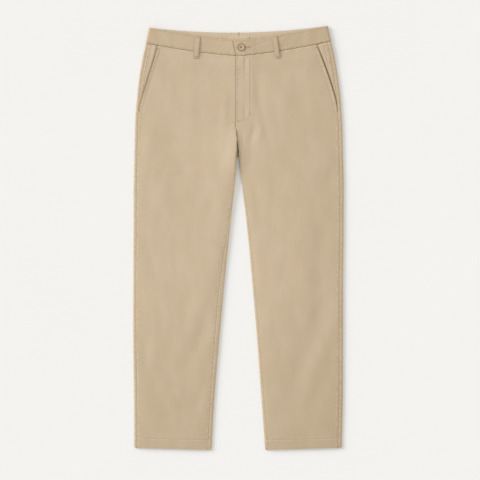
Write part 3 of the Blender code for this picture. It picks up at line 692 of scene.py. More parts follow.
# %% Small materials
def ribbed_cloth(name, pale, deep, pitch, roughness):
    """Plain-woven cloth with upright ribs a pitch apart."""
    material, tree, shader, threads = new_material(name)
    ribs = add(tree, "TexWave", {"Scale": BANDS_PER_METRE / pitch, "Distortion": 0.6,
                                 "Detail": 2.0}, {"Vector": threads["UV"]})
    fuzz = add(tree, "TexNoise", {"Scale": 300.0, "Detail": 4.0},
               {"Vector": threads["Object"]}).outputs["Fac"]
    both = add(tree, "Math", {1: 0.35}, {0: fuzz, 2: ribs.outputs["Fac"]},
               operation="MULTIPLY_ADD").outputs[0]
    weave = add(tree, "Bump", {"Strength": 0.5, "Distance": 0.2 * MM}, {"Height": both})
    rough = add(tree, "MapRange", {"To Min": roughness + 0.06, "To Max": roughness - 0.06},
                {"Value": fuzz})
    wire(tree, shader, {"Specular IOR Level": 0.25, "Sheen Weight": 0.1},
         {"Base Color": dye(tree, deep, (both, 0.0, 1.35, pale, 1.0)),
          "Normal": weave.outputs["Normal"], "Roughness": rough.outputs[0]})
    return material


FACING = ribbed_cloth("ribbed_cotton_facing", "#dcc8ae", "#c4ad90", 3.2 * MM, 0.9)
LABEL = ribbed_cloth("woven_satin_label", "#d9c5aa", "#ccb799", 1.1 * MM, 0.55)
THREAD = ribbed_cloth("twisted_polyester_thread", "#b9a17d", "#957e5a", 0.5 * MM, 0.6)
TAPE = ribbed_cloth("woven_zip_tape", "#bda685", "#a58d6c", 0.9 * MM, 0.85)


def cast_resin():
    """Polyester button resin, cast and tumble-polished: cloudy swirls, and painted shade in a dark
    ring round its edge.
    """
    material, tree, shader, threads = new_material("cast_polyester_resin")
    swirl = add(tree, "TexNoise", {"Scale": 220.0, "Detail": 3.0, "Distortion": 2.5},
                {"Vector": threads["Object"]}).outputs["Fac"]
    low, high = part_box("button")
    middle = ((low.x + high.x) / 2, (low.y + high.y) / 2, high.z)
    away = add(tree, "VectorMath", {1: middle}, {0: threads["Object"]}, operation="DISTANCE")
    # painted shade: a dark ring round the button's edge
    colour = dye(tree, "#b89b78", (swirl, 0.0, 1.0, "#d2b794", 1.0),
                 (away.outputs["Value"], 7.2 * MM, 7.9 * MM, "#7d6342", 0.9))
    rough = add(tree, "MapRange", {"To Min": 0.34, "To Max": 0.5}, {"Value": swirl})
    wire(tree, shader, {"IOR": 1.54}, {"Base Color": colour, "Roughness": rough.outputs[0]})
    return material


def rolled_brass():
    """Zip brass: rolled wire, stamped and tumbled, so its roughness is streaky."""
    material, tree, shader, threads = new_material("tumbled_brass")
    streaks = add(tree, "TexNoise", {"Scale": 900.0, "Detail": 3.0},
                  {"Vector": threads["Object"]}).outputs["Fac"]
    rough = add(tree, "MapRange", {"To Min": 0.28, "To Max": 0.45}, {"Value": streaks})
    wire(tree, shader, {"Metallic": 1.0},
         {"Base Color": dye(tree, "#b08a4a", (streaks, 0.0, 1.0, "#d6b273", 1.0)),
          "Roughness": rough.outputs[0]})
    return material


RESIN = cast_resin()
BRASS = rolled_brass()
made = (TWILL, BAND_TWILL, FACING, LABEL, THREAD, TAPE, RESIN, BRASS)
print("materials: %s" % ", ".join(sorted(material.name for material in made)))

# %% [markdown]
# ## Front panels
# Each front is one cut piece from the pocket and the side seam to the inseam and the fly. Its grid
# is fine beside the seams, where stitching puckers the cloth, and coarser in the open. The wearer's
# left front ends in the fly: it laps over the right one, and a curved line of stitching, the
# J-stitch, holds the zip's tape and leaves soft troughs beside it.

# %% Front panels
EDGE_STEPS = (0, 0.5, 1.0, 1.6, 2.3, 3.1, 4.0, 5.0, 6.0, 7.0, 7.7, 8.4, 9.2, 10.4, 12.0)
FINE_STEPS = tuple(np.concatenate((EDGE_STEPS[:8], np.arange(6.2, 44, 2.0))))
HEM_DEPTH = 24.5
POCKET_STITCH = 8.0
INSEAM_STITCH = 6.0
J_PATH = ((29, 985), (29, 828), (27.5, 818), (22.7, 811.5), (10.4, 806), (-2, 803.5))
SEAM_HALF = GAP / 2 + TURN * NIP
REST_CLEAR = 0.05          # the underside stays this far above the table
# how dark the painted shade in each side seam is
SIDE_SEAM_PAINTED_SHADE = {"right": 0.0, "left": 0.45}
RIM_HEIGHT = 1.5           # of the soft rim that stands along the right leg's inner fold
RIM_WIDTH = 14.0


def rows_between(low, high, bands):
    """Heights from low to high; each band is (up to this height, pitch)."""
    heights = [low]
    for end, pitch in bands:
        end = min(end, high)
        count = max(1, int(round((end - heights[-1]) / pitch)))
        heights += list(np.linspace(heights[-1], end, count + 1)[1:])
    return np.array(heights)[:, None]


def stations(total, near, far, pitch):
    """Distances along each row: close together at both ends and even between."""
    near, far = np.array(near), np.array(far)
    count = int((total.max() - near[-1] - far[-1]) / pitch)
    share = np.linspace(0, 1, count + 1)[1:-1]
    middle = near[-1] + (total - near[-1] - far[-1]) * share
    ones = np.ones_like(total)
    return np.concatenate((near * ones, middle, total - far[::-1] * ones), axis=1)


# %% [markdown]
# ### Pressed seams, hems and waist
# Stitches draw the cloth in beside a seam, a hem and the waist. Each press function gives a
# height in millimetres along the normal.

# %% Pressed seams, hems and waist
def drawn(away, at, width, v, seed):
    """A stitched line's groove, pulled deeper at some stitches than at others."""
    return bump(away - at, width) * (0.8 + 0.35 * waver(v, 5.5, seed))


def seam_press(away, v, seed):
    """A seam: the cloth dips to it, and puckers beside it."""
    dip = -0.16 * bump(away, 2.4) * (1 + 0.5 * waver(v, 7.0, seed))
    strength = 0.4 + 0.2 * waver(v, 140.0, seed)
    return dip + strength * waver(v + 0.5 * away, 9.0, seed + 1) * bump(away - 3.5, 4.0)


def hem_press(x, v, seed):
    """A hem: double cloth, roped along its stitching."""
    double = 0.3 * (1 - ease(v, HEM_DEPTH - 2, HEM_DEPTH + 4))
    groove = -0.5 * drawn(v, HEM_DEPTH, 1.4, x, seed)
    return double + groove + 0.17 * waver(x + 0.9 * v, 8.5, seed) * (1 - ease(v, 17, 33))


def waist_press(x, v, seed):
    """The cloth dips under the waistband, and puckers a little below it."""
    below = WAIST_SEAM - v
    return -0.5 * bump(below, 2.4) + 0.24 * waver(x, 9.0, seed) * bump(below - 5.5, 5)


# %% [markdown]
# ### The fly and the whole front
# The fly has its own stitched groove and small ticks. The front adds all its presses together.

# %% The fly and the whole front
def fly_press(x, y):
    """What the zip, its tape and the J-stitch do to the left front."""
    to_j, _ = to_path(x, y, J_PATH)
    groove = -0.14 * bump(to_j, 2.6) - 0.28 * bump(to_j, 1.1) * (1 + 0.8 * waver(x + y, 6.5))
    strong = 0.1 + 1.1 * bump(y - 950, 32) + 0.8 * bump(y - 826, 15)
    lean = 15.0 + 0.013 * (y - 900)
    zip_side = -0.8 * bump(x - lean, np.where(x < lean, 1.4, 6.0)) * strong
    zip_side = zip_side * ease(y, 805, 818) * (1 - ease(y, 972, 980))
    shelf = 0.25 * ease(x, 23, 27) * (1 - ease(x, 34, 41)) * ease(y, 800, 830)
    ticks = -0.6 * bump(y - 919 - 0.55 * x, 2.1) * bump(x - 3.5, 6)
    ticks += -0.45 * bump(y - 927.5 - 0.55 * x, 2.0) * bump(x - 4, 5.5)
    ticks += -0.8 * bump(y - 955 - 1.3 * (x - 20), 2.4) * bump(x - 20, 5)
    edge = 0.32 * bump(x + FLY_EDGE, 2.6) * ease(y, 800, 815)
    uneven = 1 + 0.6 * waver(y, 47.0, 0.5)
    pucker = 0.32 * waver(y + 0.5 * x, 8.5, 2.0) * bump(x - 0.5, 5) * ease(y, 800, 815) * uneven
    return groove + zip_side + shelf + ticks + edge + pucker


def press_front(side, v, s, total, points):
    """How far a front's surface is pressed in or out along its normals."""
    x = points[..., 0] / MM
    y = points[..., 1] / MM - HEM_Y
    seed = 0.7 if side == "right" else 2.9
    from_end = total - s
    in_leg = 1 - ease(v, CROTCH_FRONT - 10, CROTCH_FRONT + 25)
    at_pocket = ease(v, POCKET_BOTTOM - 4, POCKET_BOTTOM + 4)
    lips = np.sin(np.pi * np.clip((v - POCKET_BOTTOM) / (WAIST_SEAM - POCKET_BOTTOM), 0, 1))
    pocket = (0.2 + 0.5 * lips) * bump(s, 4.0) - 0.3 * drawn(s, POCKET_STITCH, 1.2, v, seed)
    depth = seam_press(s, v, seed) * (1 - at_pocket) + pocket * at_pocket
    tail = -0.28 * drawn(s, POCKET_STITCH, 1.2, v, seed) * (1 - at_pocket)
    depth = depth + tail * ease(v, POCKET_BOTTOM - 9, POCKET_BOTTOM - 4)
    inseam = seam_press(from_end, v, seed + 5) - 0.24 * drawn(from_end, INSEAM_STITCH, 1.1, v, seed)
    depth = depth + inseam * in_leg
    in_rise = (1 - in_leg) * (1 - ease(v, FLY_BOTTOM - 4, FLY_BOTTOM + 8))
    depth = depth + seam_press(from_end, v, seed + 7) * in_rise
    depth = depth + hem_press(x, v, seed) + waist_press(x, v, seed)
    if side == "left":
        return depth + fly_press(x, y)
    past_fold = from_end - front_ends(side, v)[2]
    rim = RIM_HEIGHT * bump(past_fold + 4, RIM_WIDTH) * ease(past_fold, -12, -4)
    return depth + rim * ease(v, 650, 695) * (1 - ease(v, 762, 790))


# %% [markdown]
# ### Wear and painted shade, and turning the edges under
# Seams and hems are rubbed pale on top, and their crevices are darkened with painted shade.

# %% Wear, painted shade and finishing
def wear_and_painted_shade_near(*seams):
    """How the cloth looks near its seams: rubbed paler on their edges, with painted shade in their
    crevices. Each seam is its distance and how dark the painted shade in it is."""
    worn_and_shaded = np.zeros(np.broadcast_shapes(*[np.shape(distance) for distance, _ in seams]))
    for distance, _ in seams:
        worn_and_shaded = np.maximum(worn_and_shaded, bump(np.abs(distance) - 3.4, 2.6))
    for distance, depth in seams:
        worn_and_shaded = worn_and_shaded - depth * bump(np.abs(distance), 0.9)
    return np.clip(worn_and_shaded, -1, 1)


def hem_wear_and_shade(v):
    """Puckers on both sides of the hem's stitching, and painted shade in it."""
    return 0.6 * bump(np.abs(v - HEM_DEPTH) - 2.6, 1.8) - 0.3 * bump(v - HEM_DEPTH, 1.3)


def finish_sheet(points, outward, depth, wear_and_painted_shade, *runs):
    """Presses a sheet's surface, then turns its edges under: its bottom and top, then its start
    and end. Each run is how far that edge goes on below; None leaves it as it is."""
    normals = normals_of(points, outward)
    points = points + normals * depth[..., None] * MM
    points[..., 2] = np.maximum(points[..., 2], REST_CLEAR * MM)
    radius, added = TURN, []
    for edge, run in enumerate(runs):
        axis, at_end = divmod(edge, 2)
        kept = points.shape[axis]
        if run is not None:
            points, normals = turn_edge(points, normals, axis, at_end, run, radius)
        added.append(points.shape[axis] - kept)
        if edge == 1:
            radius = np.pad(np.full(len(depth), TURN), added, constant_values=0.3)
    return points, np.pad(wear_and_painted_shade, (added[:2], added[2:]), mode="edge")


def panel_wear_and_shade(side, s, total, v):
    """The wear and painted shade of a panel s millimetres from the start of rows that are total
    long.
    """
    # painted shade in the side seam, inseam and waist seam, and rubbed wear beside them
    worn_and_shaded = wear_and_painted_shade_near((s, SIDE_SEAM_PAINTED_SHADE[side]), (total - s, 0.1), (WAIST_SEAM - v + 0 * s, 1.1))
    return np.clip(worn_and_shaded + hem_wear_and_shade(v), -1, 1)


# %% [markdown]
# ### The two front panels
# Each is walked, pressed, turned under at all four edges and made into a piece.

# %% The front panels
def front_panel(side):
    outward = 1 if side == "left" else -1
    v = rows_between(TURN, WAIST_SEAM - SEAM_HALF, ((30, 1.4), (725, 3.0), (835, 1.9),
                                                     (975, 1.7), (999, 1.3)))
    start, flat_end, curl = front_ends(side, v)
    total = start - flat_end + curl - SEAM_HALF * 2
    s = stations(total, EDGE_STEPS, FINE_STEPS, 5.4)
    points = walk_front(side, v, s + SEAM_HALF)
    wear_and_painted_shade = panel_wear_and_shade(side, s, total, v)
    if side == "left":
        to_j, _ = to_path(points[..., 0] / MM, points[..., 1] / MM - HEM_Y, J_PATH)
        # painted shade along the J-stitch's groove
        wear_and_painted_shade = wear_and_painted_shade - 0.12 * bump(to_j, 1.5)
    points, wear_and_painted_shade = finish_sheet(points, outward, press_front(side, v, s, total, points), wear_and_painted_shade,
                                HEM_DEPTH, 3.0, 3.0, 3.0)
    return cloth_piece("cloth_front_" + side, points, outward, TWILL, "front_" + side,
                       wear_and_painted_shade=wear_and_painted_shade)


# %% [markdown]
# ## Back panels
# Each back starts on top, 8 mm in from the outer fold, where the side seam lies. It goes round the
# fold, flat along the table, and up round the inner fold to the inseam, or at the seat to the
# centre back seam. It is pressed only inwards, so that it lies flat.

# %% Back panels
def back_panel(side):
    outward = -1 if side == "left" else 1
    v = rows_between(TURN, WAIST_SEAM - SEAM_HALF, ((30, 1.6), (705, 3.0), (735, 1.6),
                                                     (975, 4.0), (999, 1.4)))
    radius = fold_radius(v)
    turn = outer(side, v) - radius
    start = outer(side, v) - SIDE_WRAP[side] - turn + SEAM_HALF
    leg_v = np.minimum(v, CROTCH_BACK + 12)
    flat = outer(side, leg_v) - inner(side, leg_v) - 2 * fold_radius(leg_v)
    end_leg = np.pi * fold_radius(leg_v) + flat + inseam_run(side, leg_v) - SEAM_HALF
    end_seat = np.pi * radius + turn - SEAM_HALF
    total = np.where(v < CROTCH_BACK - 4, end_leg, end_seat) - start
    near = np.arange(0, 20.5, 1.0)
    s = stations(total, near, np.arange(0, 25.5, 1.2), 7.0)
    points = walk_back(side, v, s / total, end_leg, end_seat, start)
    x = points[..., 0] / MM
    seed = 4.1 if side == "right" else 6.3
    underneath = ease(s, 14, 18) * ease(total - s, 8, 20)
    depth = seam_press(s, v, 0.7 if side == "right" else 2.9)
    depth = depth + seam_press(total - s, v, seed)
    depth = depth + hem_press(x, v, seed) + waist_press(x, v, seed)
    depth = depth - np.maximum(depth, 0) * underneath
    points, wear_and_painted_shade = finish_sheet(points, outward, depth, panel_wear_and_shade(side, s, total, v),
                                HEM_DEPTH, 3.0, 3.0, 3.0)
    return cloth_piece("cloth_back_" + side, points, outward, TWILL, "back_" + side,
                       wear_and_painted_shade=wear_and_painted_shade)


panels = {}
for side in SIGN:
    panels["back_" + side] = back_panel(side)
    panels["front_" + side] = front_panel(side)

# %% [markdown]
# ## Pocket facings
# Behind each slant opening lies a facing of the same cloth, sewn into the side seam. It drops under
# the front panel, and the pocket bag that hangs from it makes it ripple.

# %% Pocket facings
POCKET_GAPE = {"right": 0.8, "left": 2.2}
# how dark the painted shadow in each pocket's mouth is
POCKET_PAINTED_SHADE = {"right": 0.7, "left": 1.3}
POCKET_RIPPLE = {"right": 0.7, "left": 0.4}
POCKET_RAMP = {"right": 4.6, "left": 7.0}


def pocket_facing(side):
    outward = 1 if side == "left" else -1
    v = rows_between(POCKET_BOTTOM + 4, WAIST_SEAM - SEAM_HALF, ((999, 3.0),))
    edge = pocket_edge(side, v)
    start = outer(side, v) - SIDE_WRAP[side] - SEAM_HALF
    total = start - edge + 25
    s = stations(total, EDGE_STEPS[:10], (0, 2, 4), 1.8)
    reach = start - s
    mouth = np.sin(np.pi * np.clip((v - POCKET_BOTTOM) / (WAIST_SEAM - POCKET_BOTTOM), 0, 1)) ** 0.5
    drop = LAYER_DROP * (1 - ease(reach - edge, 0.6, POCKET_RAMP[side]))
    drop = drop + POCKET_GAPE[side] * mouth * bump(reach - edge, 3.4)
    points = place(side, v, reach, top_level(side, v, reach) - drop, True)
    seed = 1.3 if side == "right" else 3.7
    ripples = POCKET_RIPPLE[side] * waver(reach + 0.2 * v, 9.0, seed) * ease(s, 1, 7)
    depth = seam_press(s, v, seed) + waist_press(reach, v, seed) + ripples
    # rubbed wear and painted shade at the side and waist seams, and a painted shadow in the pocket's
    # mouth
    wear_and_painted_shade = wear_and_painted_shade_near((s, SIDE_SEAM_PAINTED_SHADE[side]), (WAIST_SEAM - v + 0 * s, 1.1))
    wear_and_painted_shade = wear_and_painted_shade - POCKET_PAINTED_SHADE[side] * bump(reach - edge, 1.7) * mouth
    points, wear_and_painted_shade = finish_sheet(points, outward, depth, wear_and_painted_shade, None, None, 3.0, None)
    return cloth_piece("cloth_pocket_facing_" + side, points, outward, TWILL,
                       "pocket_facing_" + side, wear_and_painted_shade=wear_and_painted_shade)


facings = {side: pocket_facing(side) for side in SIGN}

# %% [markdown]
# ## Waistband
# A waistband is a folded strip with a stiffener inside, so it stands a little proud, has rounded
# edges and carries a line of edge stitching. Each half runs from the fastening round the side to
# the centre back. The left half laps over the right one, and its end is cut at a slant.

# %% Waistband halves
BAND_STITCH = 2.6


def band_end(v):
    up = (v - WAIST_SEAM) / (WAIST_TOP - WAIST_SEAM)
    return 5.5 + 7.4 * ease(up, -0.2, 1.2)


def band_half(side):
    outward = -1 if side == "left" else 1
    v = rows_between(WAIST_SEAM + SEAM_HALF, WAIST_TOP - TURN, ((1008, 0.9), (1030, 1.6),
                                                                 (1037, 0.9)))
    radius = fold_radius(v)
    turn = outer(side, v) - radius
    lap = band_end(v)
    start = -lap if side == "left" else -UNDERLAP_END + 0 * v
    first = start - turn + TURN
    last = np.pi * radius + turn - SEAM_HALF
    total = last - first
    s = stations(total, np.arange(0, 48, 1.1), EDGE_STEPS[:8], 2.8)
    w = first + s
    points = walk_round(side, v, w, False)
    reach_front = start + TURN + s
    if side == "right":
        down = BAND_DROP * (1 - ease(reach_front, lap + 0.9, lap + 0.9 + FLY_RAMP)) * (w < 0)
        points[..., 2] -= down * MM
    x = points[..., 0] / MM
    up = v - WAIST_SEAM
    seed = 5.5 if side == "right" else 7.7
    on_back = ease(w, 4, 8)
    crown = 0.75 * (1 - bump(up, 1.6)) - 0.15
    groove = -0.2 * drawn(up, BAND_STITCH + TURN, 0.9, x, seed)
    top_groove = -0.12 * drawn(up, 35.0, 0.9, x, seed + 2)
    roping = waver(x + 0.5 * up, 7.5, seed) * (1 + 0.5 * waver(x, 90.0, seed))
    roping = roping * (0.55 * bump(up - 4, 6) + 0.26 * bump(up - 36, 5))
    soft = 0.3 * waver(x, 61.0, seed) * bump(up - 20, 16) + 0.12 * waver(x - 0.8 * up, 24.0, seed)
    depth = crown + groove + top_groove + roping + soft
    if side == "left":
        for cx, cy, lean in ((45, 22, 0.25), (78, 28, 0.1), (108, 33, 0.2)):
            depth = depth - 0.45 * bump(up - cy - lean * (x - cx), 2.6) * bump(x - cx, 20)
    depth = depth * (1 - on_back) + np.minimum(depth - 0.3, 0) * on_back
    # painted shade at the waist seam and at the band's end, and the top edge rubbed pale
    wear_and_painted_shade = wear_and_painted_shade_near((up + 0 * s, 1.1), (s, 0.2)) + 0.5 * bump(WAIST_TOP - v - 1.5, 2.0)
    points, wear_and_painted_shade = finish_sheet(points, outward, depth, wear_and_painted_shade, 3.0, 12.0, 4.0, 2.0)
    return cloth_piece("cloth_waistband_" + side, points, outward, BAND_TWILL,
                       "waistband_" + side, wear_and_painted_shade=wear_and_painted_shade)


bands = {side: band_half(side) for side in SIGN}

# %% [markdown]
# ## Belt loops
# A belt loop is a narrow strip folded in three and stitched along both edges. Its ends are turned
# under and held by bar tacks, and the middle stands off the waistband to leave room for a belt.
# The front ones arch up; the back ones are pressed flat between the waistband and the table.

# %% Belt loops
LOOP_WIDTH = 12.0
LOOP_BELOW_SEAM = 17.0
Loop = namedtuple("Loop", "name top_x bottom_x on_front")
LOOPS = (
    Loop("belt_loop_front_right", -98.6, -104.2, True),
    Loop("belt_loop_front_left", 88.4, 96.6, True),
    Loop("belt_loop_back_right", -118.0, -120.0, False),
    Loop("belt_loop_back_centre", 0.0, 0.0, False),
    Loop("belt_loop_back_left", 118.0, 120.0, False),
)


def loop_places(x, v, level, on_front):
    """Places given by x instead of by side and reach."""
    left = place("left", v, x, level, on_front)
    right = place("right", v, -x, level, on_front)
    return np.where((x > 0)[..., None], left, right)


def front_level(x, v):
    return np.where(x > 0, top_level("left", v, x), top_level("right", v, -x))


def belt_loop(loop):
    bottom = WAIST_SEAM - LOOP_BELOW_SEAM
    t = np.linspace(0, 1, 45)[:, None]
    across = np.array((-1, -0.985, -0.95, -0.88, -0.78, -0.66, -0.5, -0.25, 0,
                       0.25, 0.5, 0.66, 0.78, 0.88, 0.95, 0.985, 1))
    v = bottom + (WAIST_TOP - 0.4 - bottom) * t
    x = loop.bottom_x + (loop.top_x - loop.bottom_x) * t + across * LOOP_WIDTH / 2
    v = v + 0 * x
    soft_edge = -0.9 * np.abs(across) ** 14
    stitched = -0.22 * bump(np.abs(across) - 0.66, 0.13) * (1 + 0.4 * waver(v, 4.0, 1.0))
    tacked = -0.35 * bump(v - bottom - 4.0, 1.4) - 0.3 * bump(v - WAIST_TOP + 3.5, 1.3)
    if loop.on_front:
        arch = 1.7 * np.sin(np.pi * np.clip(t, 0, 1)) ** 0.7
        lean = 0.25 * across * np.sin(np.pi * t)
        level = front_level(x, v) + 1.75 + arch + lean + soft_edge + stitched + tacked
        wall = 1.0
    else:
        level = 0.0 - (soft_edge + 0.3 * stitched + 0.3 * tacked)
        wall = 0.8
    points = loop_places(x, v, level, loop.on_front)
    outward = -1 if loop.on_front else 1
    # rubbed pale beside the stitching, and painted shade along the loop's two edges
    wear_and_painted_shade = 0.8 * bump(np.abs(across) - 0.82, 0.1) - 0.8 * bump(np.abs(across) - 1, 0.06) + 0 * v
    return cloth_piece("cloth_" + loop.name, points, outward, BAND_TWILL, loop.name,
                       wall=wall, wear_and_painted_shade=wear_and_painted_shade)


loops = {loop.name: belt_loop(loop) for loop in LOOPS}

# %% [markdown]
# ## Inside of the waistband
# Where the front sags below the back, the lining strip inside the back waistband shows. It is a
# ribbed cotton facing, with a plain patch sewn on where a label would be, left bare.

# %% Waistband facing and the bare label
def inner_strip(name, half_low, half_high, low, high, lift, material, slot_name, node, wall,
                pitch, press):
    """A strip on the inside of the back waistband."""
    v = np.arange(low, high + 0.01, (high - low) / max(2, round((high - low) / 1.6)))[:, None]
    count = int((half_high - half_low) / pitch)
    x = np.linspace(half_low, half_high, count)[None, :] + 0 * v
    v = v + 0 * x
    level = steps(DEPTHS, "rest_level", v) + lift + press(x, v)
    points = loop_places(x, v, level, False)
    return cloth_piece(name, points, -1, material, node, wall=wall)


def facing_press(x, v):
    seam = -0.5 * bump(v - (WAIST_TOP - 2.2), 1.1)
    return seam + 0.16 * waver(x, 7.0, 2.0) + 0.1 * waver(x + 0.5 * v, 19.0, 4.0)


LABEL_SPAN = (-21.0, 27.5)
LABEL_HEIGHTS = (1013.0, 1027.0)


def label_press(x, v):
    ends = np.minimum(np.abs(x - LABEL_SPAN[0]), np.abs(x - LABEL_SPAN[1]))
    edge = np.minimum(ends, np.minimum(v - LABEL_HEIGHTS[0], LABEL_HEIGHTS[1] - v))
    return -0.25 * bump(edge, 0.8) - 0.12 * bump(ends - 2.2, 0.6) + 0.08 * waver(x, 15.0, 1.0)


FACING_LIFT = 2.9           # how far the facing and the label lie above the back's rest level
LABEL_LIFT = 3.6
HALF_FACING = float(outer("left", WAIST_SEAM + 6)) - 6.5
inner_strip("waistband_facing_cloth", -HALF_FACING, HALF_FACING, WAIST_SEAM + 2,
            WAIST_TOP - 0.8, FACING_LIFT, FACING, "facing", "waistband_facing", 0.8, 1.6,
            facing_press)
inner_strip("bare_label_cloth", *LABEL_SPAN, *LABEL_HEIGHTS, LABEL_LIFT, LABEL, "label",
            "label_bare", 0.4, 1.0, label_press)

# %% [markdown]
# ## Zip
# The zip is hidden under the fly, closed up to the waistband. Its two tapes carry one tooth each in
# turn. There are about a hundred small stamped teeth, so each one stays at a few faces.

# %% Zip tape, teeth and slider
ZIP_X = 14.6
ZIP_DEPTH = 1.7             # how far the chain's top and the tape lie under the fly's surface
TAPE_DEPTH = 3.7


def new_piece(name, bm, material, nodes, smooth_angle=40):
    """Finishes a bmesh as a named piece on the root body."""
    bmesh.ops.recalc_face_normals(bm, faces=bm.faces)
    mesh = bpy.data.meshes.new(name)
    bm.to_mesh(mesh)
    bm.free()
    mesh.shade_smooth()
    mesh.set_sharp_from_angle(angle=math.radians(smooth_angle))
    mesh.materials.append(material)
    if not mesh.uv_layers:
        mesh.uv_layers.new(name="cloth")
    piece = linked(name, mesh)
    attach(piece, "root")
    if nodes:
        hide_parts(*nodes)
    print("%s: %d faces" % (name, len(mesh.polygons)))
    return piece


def under_fly(x, v, drop):
    """A point below the left front's surface."""
    at = np.array([float(v)])
    reach = np.array([float(x)])
    return Vector(place("left", at, reach, top_level("left", at, reach) - drop, True)[0])


def zip_tape():
    v = np.linspace(815, 992, 60)[:, None]
    x = ZIP_X + np.linspace(-12.5, 12.5, 21)[None, :] + 0 * v
    v = v + 0 * x
    weave = 0.05 * np.cos(x * 2.1)
    points = place("left", v, x, top_level("left", v, x) - TAPE_DEPTH + weave, True)
    cloth_piece("zip_tape_cloth", points, -1, TAPE, "zip_tape",
                wall=0.6)


def zip_teeth():
    bm = bmesh.new()
    for i, v in enumerate(np.arange(815.5, 961.5, 1.45)):
        side = 1 if i % 2 else -1
        middle = under_fly(ZIP_X + side * 0.8, v, ZIP_DEPTH + 1.0)
        made = bmesh.ops.create_cube(bm, size=1, matrix=Matrix.Translation(middle)
                                     @ Matrix.Diagonal((3.4 * MM, 1.1 * MM, 1.6 * MM, 1)))
        edges = {edge for vert in made["verts"] for edge in vert.link_edges}
        bmesh.ops.bevel(bm, geom=list(edges), offset=0.2 * MM, affect="EDGES", segments=1,
                        profile=0.5, material=-1)
    return new_piece("zip_teeth", bm, BRASS, ["zip_chain"], 30)


def zip_slider():
    bm = bmesh.new()
    middle = under_fly(ZIP_X, 968, ZIP_DEPTH + 0.9)
    made = bmesh.ops.create_cube(bm, size=1, matrix=Matrix.Translation(middle)
                                 @ Matrix.Diagonal((6.4 * MM, 9.5 * MM, 1.7 * MM, 1)))
    for vert in made["verts"]:
        if vert.co.y < middle.y:
            vert.co.x = middle.x + (vert.co.x - middle.x) * 0.72
    bmesh.ops.bevel(bm, geom=list(bm.edges), offset=0.5 * MM, affect="EDGES", segments=3,
                    profile=0.5, material=-1)
    return new_piece("zip_slider_body", bm, BRASS, ["zip_slider"])


zip_tape()
zip_teeth()
zip_slider()

# %% [markdown]
# ## Button
# The button is a turned shape: half its outline is spun round the middle, with a raised rim and a
# dished face. Four holes are drilled through with a Boolean, and thread crosses between them.

# %% Button and its thread
HOLE_OFFSET = 1.7
button_low, button_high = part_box("button")
button_middle = Vector(((button_low.x + button_high.x) / 2, (button_low.y + button_high.y) / 2,
                        button_low.z))
BUTTON_RADIUS = (button_high.x - button_low.x) / 2 / MM


def button():
    outline = ((0, 0), (6.6, 0), (7.9, 0.25), (8.7, 0.75), (9.0, 1.35), (8.85, 1.95), (8.4, 2.4),
               (7.8, 2.6), (7.2, 2.5), (6.7, 2.15), (6.2, 1.85), (5.4, 1.72), (0, 1.62))
    bm = bmesh.new()
    verts = [bm.verts.new((r * BUTTON_RADIUS / 9 * MM, 0, z * MM)) for r, z in outline]
    edges = [bm.edges.new(pair) for pair in zip(verts, verts[1:])]
    bmesh.ops.spin(bm, geom=verts + edges, cent=(0, 0, 0), axis=(0, 0, 1), dvec=(0, 0, 0),
                   angle=math.tau, steps=64, use_merge=True)
    bmesh.ops.remove_doubles(bm, verts=bm.verts, dist=1e-6)
    bmesh.ops.translate(bm, verts=bm.verts, vec=button_middle)
    piece = new_piece("button_disc", bm, RESIN, ["button"], 50)
    drill_bm = bmesh.new()
    for right, up in ((1, 1), (-1, 1), (-1, -1), (1, -1)):
        at = button_middle + Vector((right, up, 0)) * HOLE_OFFSET * MM
        bmesh.ops.create_cone(drill_bm, cap_ends=True, segments=20, depth=12 * MM,
                              radius1=0.95 * MM, radius2=0.95 * MM,
                              matrix=Matrix.Translation(at))
    drill_mesh = bpy.data.meshes.new("drill")
    drill_bm.to_mesh(drill_mesh)
    drill_bm.free()
    drill = linked("drill", drill_mesh)
    cut = piece.modifiers.new("holes", "BOOLEAN")
    cut.operation = "DIFFERENCE"
    cut.solver = "EXACT"
    cut.object = drill
    apply_modifiers(piece)
    bpy.data.objects.remove(drill, do_unlink=True)
    return piece


# %% [markdown]
# ### The thread of the button
# The strands are thin bowed spheres, and the wrapped neck is a stack of rings.

# %% Thread of the button
def apply_modifiers(piece):
    """Makes a piece's modifiers part of its mesh."""
    graph = bpy.context.evaluated_depsgraph_get()
    made = bpy.data.meshes.new_from_object(piece.evaluated_get(graph))
    piece.modifiers.clear()
    piece.data = made


def strand(bm, start, end, radius, sag=0.0):
    """One round thread between two points, bowed upwards by sag, with rounded ends."""
    run = end - start
    turn = run.to_track_quat("Z", "Y").to_matrix().to_4x4()
    size = Matrix.Diagonal((radius, radius, run.length / 2, 1))
    made = bmesh.ops.create_uvsphere(bm, u_segments=8, v_segments=10, radius=1,
                                     matrix=Matrix.Translation((start + end) / 2) @ turn @ size)
    for vert in made["verts"]:
        t = (vert.co - start).dot(run) / run.length_squared
        vert.co.z += sag * 4 * t * (1 - t)


def button_thread():
    bm = bmesh.new()
    top = button_middle.z + 1.75 * MM
    for k in (-1, 0, 1):
        for up in (-1, 1):
            y = button_middle.y + (up * HOLE_OFFSET + 0.34 * k) * MM
            start = Vector((button_middle.x - (HOLE_OFFSET + 0.25) * MM, y, top))
            end = Vector((button_middle.x + (HOLE_OFFSET + 0.25) * MM, y, top))
            strand(bm, start, end, 0.19 * MM, sag=0.35 * MM)
    for side_x in (-1, 1):
        for k in (-1, 0, 1):
            x = button_middle.x + (side_x * HOLE_OFFSET + 0.25 * k) * MM
            start = Vector((x, button_middle.y + HOLE_OFFSET * MM, top + 0.1 * MM))
            end = Vector((x, button_middle.y - HOLE_OFFSET * MM, top + 0.1 * MM))
            strand(bm, start, end, 0.19 * MM, sag=0.3 * MM)
    return new_piece("button_thread", bm, THREAD, [], 60)


